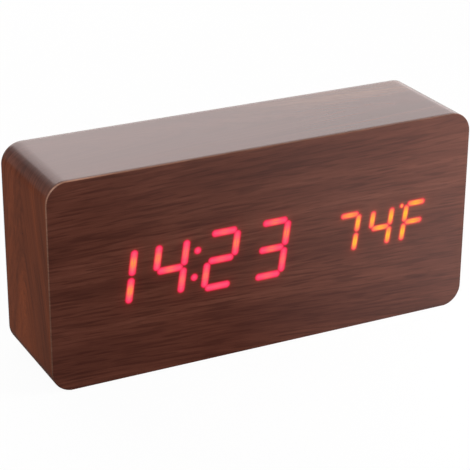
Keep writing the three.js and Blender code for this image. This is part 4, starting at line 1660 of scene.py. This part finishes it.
        # The rim's pale colour: wear all round, plus a painted highlight that fades with the
        # distance from the upper left corner.
        away = np.hypot(x - self.low.x, z - self.high.z)
        share = self.rim_wear + (self.rim_highlight - self.rim_wear) * np.exp(-away / self.rim_highlight_fade)
        wear_and_highlight = share * np.sin(2 * np.minimum(turns, math.pi / 4))
        grid = np.concatenate([border[None], len(sheet) + np.arange(x.size).reshape(x.shape)])
        after = np.roll(grid, -1, axis=1)
        edges = np.stack([grid[:-1], after[:-1], after[1:], grid[1:]], axis=-1).reshape(-1, 4)
        points = np.concatenate([sheet, np.stack([x, y, z], axis=-1).reshape(-1, 3)])
        every_x, _, every_z = points.T
        values = {
            "wear_and_highlight": np.concatenate([np.zeros(len(sheet)), wear_and_highlight.ravel()]),
            # A painted sheen that grows towards the right of the front.
            "painted_sheen": self.front_painted_sheen * ramp(every_x, self.front_painted_sheen_from, self.front_painted_sheen_fade),
            "halo_time": self.display.time.halo(every_x, every_z),
            "halo_temperature": self.display.temperature.halo(every_x, every_z),
        }
        faces = [quads, edges, grid[-1:, ::-1]]
        uv = self._fan(points[:, [0, 2]])
        piece = make_piece("walnut_front", points, faces, material, uv, values)
        return facing_out(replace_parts(piece, "front_veneer"))

    def rear(self, material: Material) -> Piece:
        """Makes the rear veneer: a flat sheet with an eased rim and a rounded opening.

        Rings of points run from the back of the rim over a quarter circle, in equal steps over
        the flat sheet to the opening, through the opening, and back behind the sheet.

        Args:
            material: the finish.

        Returns:
            The rear.
        """
        low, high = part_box("rear_veneer")
        plate_low, plate_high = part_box("rear_housing")
        opening = Outline(
            plate_high.x - plate_low.x + 2 * self.opening_gap,
            plate_high.z - plate_low.z + 2 * self.opening_gap,
            self.plate_corner + self.opening_gap,
            (plate_low.z + plate_high.z) / 2,
        )
        steps = self.outline.steps_across(), self.outline.steps_up()
        turns = quarter_turn(self.ease_steps)
        rings = [self.outline.rim(inset, *steps) for inset in self.ease * (1 - np.cos(turns))]
        depths = [*(low.y + (high.y - low.y) * np.sin(turns)), *[high.y] * self.rear_rings]
        wear_and_highlight = [*(self.rear_wear * np.sin(2 * turns)), *[0.0] * self.rear_rings]
        edge, lip, mouth = rings[-1], opening.rim(-self.seam, *steps), opening.rim(0.0, *steps)
        shares = np.linspace(0, 1, self.rear_rings + 1)[1:]
        rings += [edge + share * (lip - edge) for share in shares] + [mouth, mouth]
        depths += [high.y - self.seam, low.y]
        wear_and_highlight += [self.opening_wear, 0.0]
        points = np.concatenate([np.insert(ring, 1, y, axis=1) for ring, y in zip(rings, depths)])
        faces = [tube_faces(len(rings), len(mouth), closed_rings=True)]
        values = {"wear_and_highlight": np.repeat(wear_and_highlight, len(mouth))}
        piece = make_piece("walnut_rear", points, faces, material, points[:, [0, 2]], values)
        return facing_out(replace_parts(piece, "rear_veneer"))

    def build(self) -> list[Piece]:
        """Makes the wrap, the front and the rear.

        Returns:
            The pieces.
        """
        plain = WalnutVeneer(seed=3.0, wave=1.5 * MM, relief=0.06).build()
        back = WalnutVeneer(name="walnut_veneer_rear", seed=21.0).build()
        lit = WalnutVeneer(name="walnut_veneer_lit", lit=True, seed=9.0).build()
        return [self.wrap(plain), self.front(lit), self.rear(back)]


@dataclass
class Works:
    """The solids that keep their shape and get a finish by the slot in their record."""

    frame: dict

    def dress(self, finishes: dict[Finish, Material]) -> None:
        """Gives each node the finish of its slot.

        Args:
            finishes: the material of each finish.
        """
        slots = {finish.value: material for finish, material in finishes.items()}
        for entry in self.frame["record"]["subparts"]:
            if entry["material_slot"] not in slots:
                continue
            for place in self.frame["nodes"][entry["node"]].material_slots:
                place.material = slots[entry["material_slot"]]


@dataclass
class RearCover:
    """The moulded back plate with its battery bay, and the hinged lid over the bay."""

    frame: dict
    plate_edge: float = 0.22 * MM
    lid_edge: float = 0.12 * MM

    def build(self, plastic: Material) -> list[Made]:
        """Makes both mouldings with rounded edges.

        Args:
            plastic: the finish.

        Returns:
            Each piece with its body and its slot.
        """
        nodes = self.frame["nodes"]
        housing = softened(nodes["rear_housing"], "rear_cover", self.plate_edge, plastic)
        lid = softened(nodes["battery_door"], "battery_lid", self.lid_edge, plastic)
        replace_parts(housing, "rear_housing")
        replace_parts(lid, "battery_door")
        return [(housing, "case", "housing_plastic"), (lid, "battery_door", "housing_plastic")]


def rounded(radius: float, place: float, size: float, steps: int = 5) -> list[tuple[float, float]]:
    """A quarter circle in a profile, from a straight wall over to a flat top.

    Args:
        radius: the wall's radius.
        place: the top's place along the axis.
        size: the quarter circle's own radius.
        steps: how many steps it has.

    Returns:
        Rows of a radius and a place along the axis.
    """
    turns = quarter_turn(steps)
    radii, places = radius - size * (1 - np.cos(turns)), place - size * (1 - np.sin(turns))
    return list(zip(radii.tolist(), places.tolist()))


@dataclass
class Controls:
    """The three push buttons, the power socket with its pin, and the cover's four screws."""

    crown: float = 3 * MM
    crown_edge: float = 0.4 * MM
    crown_land: float = 0.1 * MM
    dish: float = 0.22 * MM
    dish_steps: int = 8
    flange_edge: float = 0.12 * MM
    flange: float = 1 * MM
    cap_turns: int = 64
    barrel: float = 4.1 * MM
    barrel_edge: float = 0.2 * MM
    barrel_turns: int = 64
    cover_plate: float = 2.2 * MM
    body_gap: float = 0.3 * MM
    bore: float = 3.2 * MM
    bore_depth: float = 8.4 * MM
    pin_tip: float = 0.35 * MM
    pin_turns: int = 32
    head: float = 1.9 * MM
    head_height: float = 1.1 * MM
    head_edge: float = 0.08 * MM
    head_wall: float = 0.35 * MM
    head_land: float = 0.12 * MM
    dome_shares: tuple[float, ...] = (0.35, 0.6, 0.8, 0.92, 1.0)
    shank: float = 1 * MM
    point: float = 0.45 * MM
    point_length: float = 0.9 * MM
    recess_arm: float = 1.15 * MM
    recess_width: float = 0.27 * MM
    recess_depth: float = 0.75 * MM
    recess_taper: float = 0.72
    recess_tip: float = 0.1 * MM
    screw_turns: int = 96

    def _cap(self, name: str, plastic: Material) -> Piece:
        """Makes a cap: a flange, and a straight crown with a rounded edge and a dished top.

        The dish is a parabola of the radius.

        Args:
            name: the button's name.
            plastic: the finish.

        Returns:
            The cap.
        """
        low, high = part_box(f"{name}_button")
        wide = (high.x - low.x) / 2
        soft, seat = self.flange_edge, low.y + self.flange
        profile = [(0.0, low.y), (wide - soft, low.y), (wide, low.y + soft), (wide, seat - soft)]
        profile += [(wide - soft, seat), (self.crown, seat)]
        profile += rounded(self.crown, high.y, self.crown_edge)
        rim = self.crown - self.crown_edge - self.crown_land
        shares = np.linspace(1, 0, self.dish_steps + 1)
        profile += zip(rim * shares, high.y - self.dish * (1 - shares**2))
        centre = middle_of(f"{name}_button")
        piece = spun(f"{name}_cap", profile, Axis.Y, centre, plastic, count=self.cap_turns)
        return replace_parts(piece, f"{name}_button")

    def _barrel(self, plastic: Material) -> Piece:
        """Makes the socket: a square body with a round barrel that has a rounded mouth.

        The body is a profile of square rings: a ring's radius at a turn is the half side over
        the larger of the cosine and the sine, and the barrel's rings are round. A corner is cut
        by shares of the edge's width.

        Args:
            plastic: the finish.

        Returns:
            The socket.
        """
        low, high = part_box("power_socket")
        half = (high.x - low.x) / 2
        turns = round_turn(self.barrel_turns)
        square = 1 / np.maximum(np.abs(np.cos(turns)), np.abs(np.sin(turns)))
        soft, mouth = self.barrel_edge, high.y
        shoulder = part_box("rear_housing")[1].y - self.cover_plate - self.body_gap
        body = [
            (half - soft, low.y),
            (half, low.y + soft),
            (half, shoulder - soft),
            (half - soft, shoulder),
        ]
        tube = [
            (self.barrel, shoulder),
            (self.barrel, mouth - soft),
            (self.barrel - 0.3 * soft, mouth - 0.3 * soft),
            (self.barrel - soft, mouth),
            (self.bore + 1.5 * soft, mouth),
            (self.bore + 0.4 * soft, mouth - 0.4 * soft),
            (self.bore, mouth - 1.5 * soft),
            (self.bore, mouth - self.bore_depth),
            (0.0, mouth - self.bore_depth),
        ]
        profile = [(0.0, low.y), *body, *tube]
        shape = np.ones((len(profile), self.barrel_turns))
        shape[1 : 1 + len(body)] = square
        centre = middle_of("power_socket")
        piece = spun("socket_barrel", profile, Axis.Y, centre, plastic, shape, self.barrel_turns)
        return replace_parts(piece, "power_socket")

    def _pin(self, metal: Material) -> Piece:
        """Makes the socket's centre pin, with a domed tip.

        Args:
            metal: the finish.

        Returns:
            The pin.
        """
        low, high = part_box("power_socket_pin")
        radius = (high.x - low.x) / 2
        tip = rounded(radius, high.y, self.pin_tip)
        profile = [(0.0, low.y), (radius, low.y), *tip, (0.0, high.y)]
        centre = middle_of("power_socket_pin")
        piece = spun("socket_pin", profile, Axis.Y, centre, metal, count=self.pin_turns)
        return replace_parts(piece, "power_socket_pin")

    def _screw(self, number: int, metal: Material) -> Piece:
        """Makes a pan-head screw with a cross recess.

        Every ring is round but the recess, whose radius at a turn is that of a cross: the arm's
        length over the cosine within an arm, and its half width over the sine between arms. Its
        rows hold shares of that. The head's dome is a quarter of an ellipse.

        Args:
            number: which of the four screws it is.
            metal: the finish.

        Returns:
            The screw.
        """
        low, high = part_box(f"rear_screw_{number}")
        top, seat, edge = high.y, high.y - self.head_height, self.head_edge
        wall_top = seat + self.head_wall
        turns = round_turn(self.screw_turns)
        folded = np.abs((turns + math.pi / 4) % QUARTER - math.pi / 4)
        inside = np.tan(folded) <= self.recess_width / self.recess_arm
        sine = np.maximum(np.sin(folded), 1e-6)
        cross = np.where(inside, self.recess_arm / np.cos(folded), self.recess_width / sine)
        dome = np.array(self.dome_shares) * QUARTER
        flat = self.recess_arm + self.head_land
        radii = flat + (self.head - flat) * np.cos(dome)
        profile = [
            (0.0, low.y),
            (self.point, low.y),
            (self.shank, low.y + self.point_length),
            (self.shank, seat),
            (self.head - edge, seat),
            (self.head, seat + edge),
            (self.head, wall_top),
            *zip(radii, wall_top + (top - wall_top) * np.sin(dome)),
            (1.0, top),
            (self.recess_taper, top - self.recess_depth),
            (0.0, top - self.recess_depth - self.recess_tip),
        ]
        shape = np.ones((len(profile), self.screw_turns))
        shape[-3:-1] = cross
        centre = middle_of(f"rear_screw_{number}")
        name = f"cover_screw_{number}"
        piece = spun(name, profile, Axis.Y, centre, metal, shape, self.screw_turns)
        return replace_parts(piece, f"rear_screw_{number}")

    def build(self, cap: Material, black: Material, steel: Material) -> list[Made]:
        """Makes the buttons, the socket, its pin and the screws.

        Args:
            cap: the buttons' finish.
            black: the socket's finish.
            steel: the pin's and the screws' finish.

        Returns:
            Each piece with its body and its slot.
        """
        names = ("set", "up", "down")
        made = [(self._cap(name, cap), f"{name}_button", "button_plastic") for name in names]
        made.append((self._barrel(black), "case", "component_plastic"))
        made.append((self._pin(steel), "case", "steel"))
        made += [(self._screw(number, steel), "case", "steel") for number in range(1, 5)]
        return made


@dataclass(frozen=True)
class ContactPlan:
    """A contact plate: the cells it touches, the one its spring presses, its tab and its wall."""

    node: str
    cells: tuple[int, ...]
    spring: int | None
    tab: bool
    at_right: bool


@dataclass
class PowerBay:
    """The four cells in the bay and the contact plates that link them."""

    nub_signs: tuple[int, ...] = (-1, 1, -1, 1)
    sleeve_lip: float = 0.25 * MM
    nub: float = 1.9 * MM
    nub_length: float = 0.8 * MM
    band: float = 9 * MM
    plate: float = 0.5 * MM
    plate_height: float = 8 * MM
    plate_width: float = 8.4 * MM
    plate_edge: float = 0.1 * MM
    edge_degrees: float = 50
    tab_width: float = 3 * MM
    tab_lap: float = 0.2 * MM
    wire: float = 0.35 * MM
    coil_base: float = 3.2 * MM
    coil_tip: float = 1.9 * MM
    coil_length: float = 4.6 * MM
    coil_turns: int = 3
    steps_per_turn: int = 28
    wire_sides: int = 10
    plans: tuple[ContactPlan, ...] = (
        ContactPlan("contact_positive", (1,), None, True, False),
        ContactPlan("contact_left_bridge", (2, 3), 2, False, False),
        ContactPlan("contact_negative", (4,), 4, True, False),
        ContactPlan("contact_right_upper_bridge", (1, 2), 1, False, True),
        ContactPlan("contact_right_lower_bridge", (3, 4), 3, False, True),
    )

    def _cell(self, number: int, sleeve: Material, steel: Material) -> Piece:
        """Makes a cell: a steel can whose ends show past a shrunk sleeve, and a nub on one end.

        The rows of its profile run from the nub's tip to the other end. The sleeve is the near
        lip, which has the pale band, and the far lip.

        Args:
            number: which of the four cells it is.
            sleeve: the sleeve's finish.
            steel: the ends' finish.

        Returns:
            The cell.
        """
        low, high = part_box(f"battery_{number}")
        radius, length = (high.z - low.z) / 2, high.x - low.x
        lip, shoulder = self.sleeve_lip, self.nub_length
        nub = [
            (0.0, 0.0),
            (0.75 * self.nub, 0.0),
            (0.95 * self.nub, 0.1 * MM),
            (self.nub, 0.3 * MM),
            (self.nub, shoulder),
        ]
        near_end = [
            (0.72 * radius, shoulder + 0.04 * MM),
            (0.9 * radius, shoulder + 0.16 * MM),
            (0.93 * radius, shoulder + 0.35 * MM),
        ]
        near_lip = [
            (radius - 1.2 * lip, shoulder + 0.3 * MM),
            (radius - 0.3 * lip, shoulder + 0.32 * MM),
            (radius, shoulder + 0.32 * MM + lip),
            (radius, shoulder + self.band),
        ]
        far_lip = [
            (radius, shoulder + 1.005 * self.band),
            (radius, length - 2 * lip),
            (radius - 0.3 * lip, length - lip),
            (radius - 1.5 * lip, length - 0.8 * lip),
        ]
        far_end = [
            (radius - 1.8 * lip, length - 1.4 * lip),
            (0.84 * radius, length - 0.3 * lip),
            (0.72 * radius, length),
            (0.0, length),
        ]
        rows = nub + near_end + near_lip + far_lip + far_end
        first = len(nub + near_end)
        pale_until = first + len(near_lip)
        sign = self.nub_signs[number - 1]
        tip = high.x if sign > 0 else low.x
        piece = spun(
            f"cell_{number}",
            [(reach, tip - sign * place) for reach, place in rows],
            Axis.X,
            middle_of(f"battery_{number}"),
            steel,
            second=sleeve,
            second_rows=(first, pale_until + len(far_lip)),
            bands={"pale_band": [float(first <= row < pale_until) for row in range(len(rows))]},
        )
        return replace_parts(piece, f"battery_{number}")

    def _box(self, low: Sequence[float], high: Sequence[float]) -> Mesh:
        """Makes a box.

        Args:
            low: one corner.
            high: the corner across from it.

        Returns:
            Its eight points and six faces, seen counterclockwise from outside.
        """
        share = np.array([[x, y, z] for z in (0, 1) for y in (0, 1) for x in (0, 1)])
        first, last = np.minimum(low, high), np.maximum(low, high)
        ends = [[0, 2, 3, 1], [4, 5, 7, 6]]
        sides = [[0, 1, 5, 4], [2, 6, 7, 3], [0, 4, 6, 2], [1, 3, 7, 5]]
        return first + share * (last - first), [np.array(ends + sides)]

    def _coil(self, wall: float, side: int, centre: Vector) -> Mesh:
        """Makes a wound wire that narrows towards the cell.

        The wire's middle line turns at a radius that falls evenly from base to tip while it
        moves off the wall at a steady rate. A circle of points round it lies across its way.

        Args:
            wall: the x of the plate's face.
            side: 1 towards +X, or else -1.
            centre: the cell's middle.

        Returns:
            Points and faces.
        """
        share = np.linspace(0, 1, self.coil_turns * self.steps_per_turn + 1)[:, None]
        turn = share * self.coil_turns * FULL_TURN
        around = round_turn(self.wire_sides)
        middle = self.coil_base + (self.coil_tip - self.coil_base) * share
        radius = middle + self.wire * np.cos(around)
        off = share * (self.coil_length - self.wire) + self.wire * np.sin(around)
        y, z = centre.y + radius * np.cos(turn), centre.z + side * radius * np.sin(turn)
        points = np.stack(np.broadcast_arrays(wall + side * off, y, z), axis=-1).reshape(-1, 3)
        ring = np.arange(self.wire_sides)[None]
        last = (len(share) - 1) * self.wire_sides
        return points, [tube_faces(len(share), self.wire_sides), ring, last + ring]

    def _contact(self, plan: ContactPlan, metal: Material) -> Piece:
        """Makes a contact plate with its spring and its tab, with softly rounded edges.

        A tab reaches from the plate to the back of the key board.

        Args:
            plan: what the plate has and where it stands.
            metal: the finish.

        Returns:
            The plate.
        """
        low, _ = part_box(plan.node)
        middles = {number: middle_of(f"battery_{number}") for number in plan.cells}
        rises = [middle.z for middle in middles.values()]
        y = middles[plan.cells[0]].y
        if plan.at_right:
            side, wall = -1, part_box("contact_right_upper_bridge")[1].x
        else:
            side, wall = 1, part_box("contact_left_bridge")[0].x
        half_width, half_height = self.plate_width / 2, self.plate_height / 2
        parts = [
            self._box(
                (wall, y - half_height, min(rises) - half_width),
                (wall + side * self.plate, y + half_height, max(rises) + half_width),
            )
        ]
        if plan.tab:
            tab, board = self.tab_width / 2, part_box("key_board")[1].y
            parts.append(
                self._box(
                    (low.x, board, rises[0] - tab),
                    (wall + self.tab_lap, board + self.plate, rises[0] + tab),
                )
            )
        if plan.spring is not None:
            parts.append(self._coil(wall + side * self.plate, side, middles[plan.spring]))
        points, faces = joined(parts)
        piece = facing_out(make_piece(f"{plan.node}_plate", points, faces, metal))
        round_edges(piece, self.plate_edge, self.edge_degrees)
        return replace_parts(piece, plan.node)

    def build(self, sleeve: Material, steel: Material, plated: Material) -> list[Made]:
        """Makes the cells and their contacts.

        Args:
            sleeve: the cells' sleeve.
            steel: the cells' ends.
            plated: the contacts' finish.

        Returns:
            Each piece with its body and its slot.
        """
        made = [(self._cell(number, sleeve, steel), "case", "cell_wrap") for number in range(1, 5)]
        made += [(self._contact(plan, plated), "case", "contact_metal") for plan in self.plans]
        return made


def direction(azimuth: float, elevation: float) -> Vector:
    """A unit vector at degrees to the right of the front and degrees over the floor."""
    az, el = math.radians(azimuth), math.radians(elevation)
    return Vector((math.sin(az) * math.cos(el), -math.cos(az) * math.cos(el), math.sin(el)))


@dataclass(frozen=True)
class Lamp:
    """A soft rectangular lamp that faces the clock.

    Azimuth and elevation are degrees as direction() takes them, power is in watts, and gleams
    says whether glossy surfaces reflect the lamp.
    """

    name: str
    azimuth: float
    elevation: float
    away: float
    size: tuple[float, float]
    power: float
    colour: Colour = WHITE
    gleams: bool = True

    def build(self, target: Vector) -> Piece:
        """Makes the lamp.

        Args:
            target: the point that it faces.

        Returns:
            The lamp.
        """
        way = direction(self.azimuth, self.elevation)
        data = bpy.data.lights.new(self.name, "AREA")
        data.shape = "RECTANGLE"
        data.size, data.size_y = self.size
        data.energy = self.power
        data.color = self.colour
        lamp = in_scene(self.name, data)
        lamp.location = target + self.away * way
        lamp.rotation_mode = "QUATERNION"
        lamp.rotation_quaternion = way.to_track_quat("Z", "Y")
        lamp.visible_camera = False
        lamp.visible_glossy = self.gleams
        return lamp


@dataclass
class Studio:
    """The camera, the floor, the surround and the lamps.

    Glossy rays see a share of white in the surround, and on the floor a share that grows from
    gleam_left at gleam_from to gleam_right at gleam_to.
    """

    azimuth: float = -26.9524
    elevation: float = 23.4765
    roll: float = 0.3197
    distance: float = 578.93 * MM
    target: tuple[float, float, float] = (-2.176 * MM, 0.0, 32.512 * MM)
    lens: float = 134.69
    sensor_width: float = 36
    floor_half: float = 3.0
    floor_below: float = 0.02 * MM
    floor_colour: Colour = (0.06, 0.06, 0.06)
    floor_seen: Colour = (0.9, 0.9, 0.9)
    floor_white: float = 0.94
    gleam_left: float = 0.04
    gleam_right: float = 1.0
    gleam_from: float = -10 * MM
    gleam_to: float = 90 * MM
    glossy_white: float = 0.2
    surround: Colour = (0.5, 0.5, 0.5)
    surround_strength: float = 0.3
    lamps: tuple[Lamp, ...] = (
        Lamp("key", -42, 36, 1.2, (0.9, 0.9), 11),
        Lamp("window", 158, 21, 1.2, (1.36, 0.82), 7.5, (1.0, 0.905, 0.9)),
        Lamp("rear_fill", 185, 10, 1.1, (1.0, 0.7), 8, gleams=False),
        Lamp("right_side", 70, 8, 1.1, (0.9, 0.7), 4, gleams=False),
        Lamp("right_card", 62, 6, 0.33, (0.16, 0.16), 1.8, gleams=False),
    )

    def camera(self) -> Piece:
        """Places the camera where the photograph was taken from.

        Returns:
            The camera.
        """
        back = direction(self.azimuth, self.elevation)
        roll = math.radians(self.roll)
        right = Vector((0, 0, 1)).cross(back).normalized()
        up = back.cross(right)
        turned_right = math.cos(roll) * right + math.sin(roll) * up
        turned_up = math.cos(roll) * up - math.sin(roll) * right
        data = bpy.data.cameras.new("camera")
        data.lens = self.lens
        data.sensor_width = self.sensor_width
        camera = in_scene("camera", data)
        rotation = Matrix((turned_right, turned_up, back)).transposed().to_4x4()
        place = Matrix.Translation(Vector(self.target) + self.distance * back)
        camera.matrix_world = place @ rotation
        bpy.context.scene.camera = camera
        return camera

    def floor(self) -> Piece:
        """Makes a pale floor that the camera sees as white but for the clock's shadow.

        Returns:
            The floor.
        """
        nodes = Surface("floor")
        path = nodes.add("ShaderNodeLightPath").outputs
        seen = nodes.math("MAXIMUM", path["Is Camera Ray"], path["Is Transmission Ray"])
        nodes.set("Base Color", nodes.mix(seen, self.floor_colour, self.floor_seen))
        nodes.set("Roughness", 1.0)
        nodes.set("Specular IOR Level", 0.0)
        x, _, _ = nodes.parts(nodes.place())
        gleam = nodes.span(x, self.gleam_from, self.gleam_to, self.gleam_left, self.gleam_right)
        reflected = nodes.times(path["Is Glossy Ray"], gleam)
        share = nodes.plus(nodes.times(seen, self.floor_white), reflected)
        glow = nodes.add("ShaderNodeEmission").outputs["Emission"]
        white = nodes.blend(share, nodes.shader.outputs["BSDF"], glow)
        nodes.join(white, nodes.output.inputs["Surface"])
        corners = np.array([[-1, -1, 0], [1, -1, 0], [1, 1, 0], [-1, 1, 0]]) * self.floor_half
        corners -= [0.0, 0.0, self.floor_below]
        piece = make_piece("floor", corners, [np.arange(4)[None]], nodes.material)
        return piece

    def world(self) -> None:
        """Makes a surround that is white to the camera and softly grey as light."""
        world = bpy.data.worlds.new("surround")
        bpy.context.scene.world = world
        world.use_nodes = True
        nodes = Nodes(world.node_tree)
        path = nodes.add("ShaderNodeLightPath").outputs
        seen = path["Is Camera Ray"]
        for label, share in (("Is Transmission Ray", 1.0), ("Is Glossy Ray", self.glossy_white)):
            seen = nodes.math("MAXIMUM", seen, nodes.times(path[label], share))
        soft, white = (nodes.add("ShaderNodeBackground") for _ in range(2))
        nodes.feed(soft.inputs["Color"], self.surround)
        nodes.feed(soft.inputs["Strength"], self.surround_strength)
        nodes.feed(white.inputs["Color"], WHITE)
        both = nodes.blend(seen, soft.outputs["Background"], white.outputs["Background"])
        nodes.join(both, nodes.add("ShaderNodeOutputWorld").inputs["Surface"])

    def build(self) -> None:
        """Sets the view and makes the floor, the surround and the lamps."""
        bpy.context.scene.view_settings.view_transform = "Standard"
        self.floor()
        self.world()
        for lamp in self.lamps:
            lamp.build(Vector(self.target))


def main() -> None:
    """Builds the clock's looks round its solids."""
    logging.basicConfig(level=logging.INFO)
    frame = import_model()
    studio = Studio()
    studio.camera()
    middle = middle_of("wrap_veneer").z
    display = Display(front=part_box("front_veneer")[0].y, centre=middle - DISPLAY_DROP)
    made = [(piece, "case", "walnut_veneer") for piece in CaseShell(display).build()]
    made += [(piece, "case", "light_guide") for piece in display.build()]
    finishes = {finish: finish.build() for finish in Finish}
    black, steel = finishes[Finish.BLACK], finishes[Finish.STEEL]
    made += RearCover(frame).build(black)
    made += Controls().build(finishes[Finish.BUTTON], finishes[Finish.COMPONENT], steel)
    made += PowerBay().build(finishes[Finish.CELL], steel, finishes[Finish.CONTACT])
    for piece, body, slot in made:
        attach(piece, body)
        LOG.info("made %s on %s", piece.name, body)
    Works(frame).dress(finishes)
    studio.build()


if __name__ == "__main__":
    main()
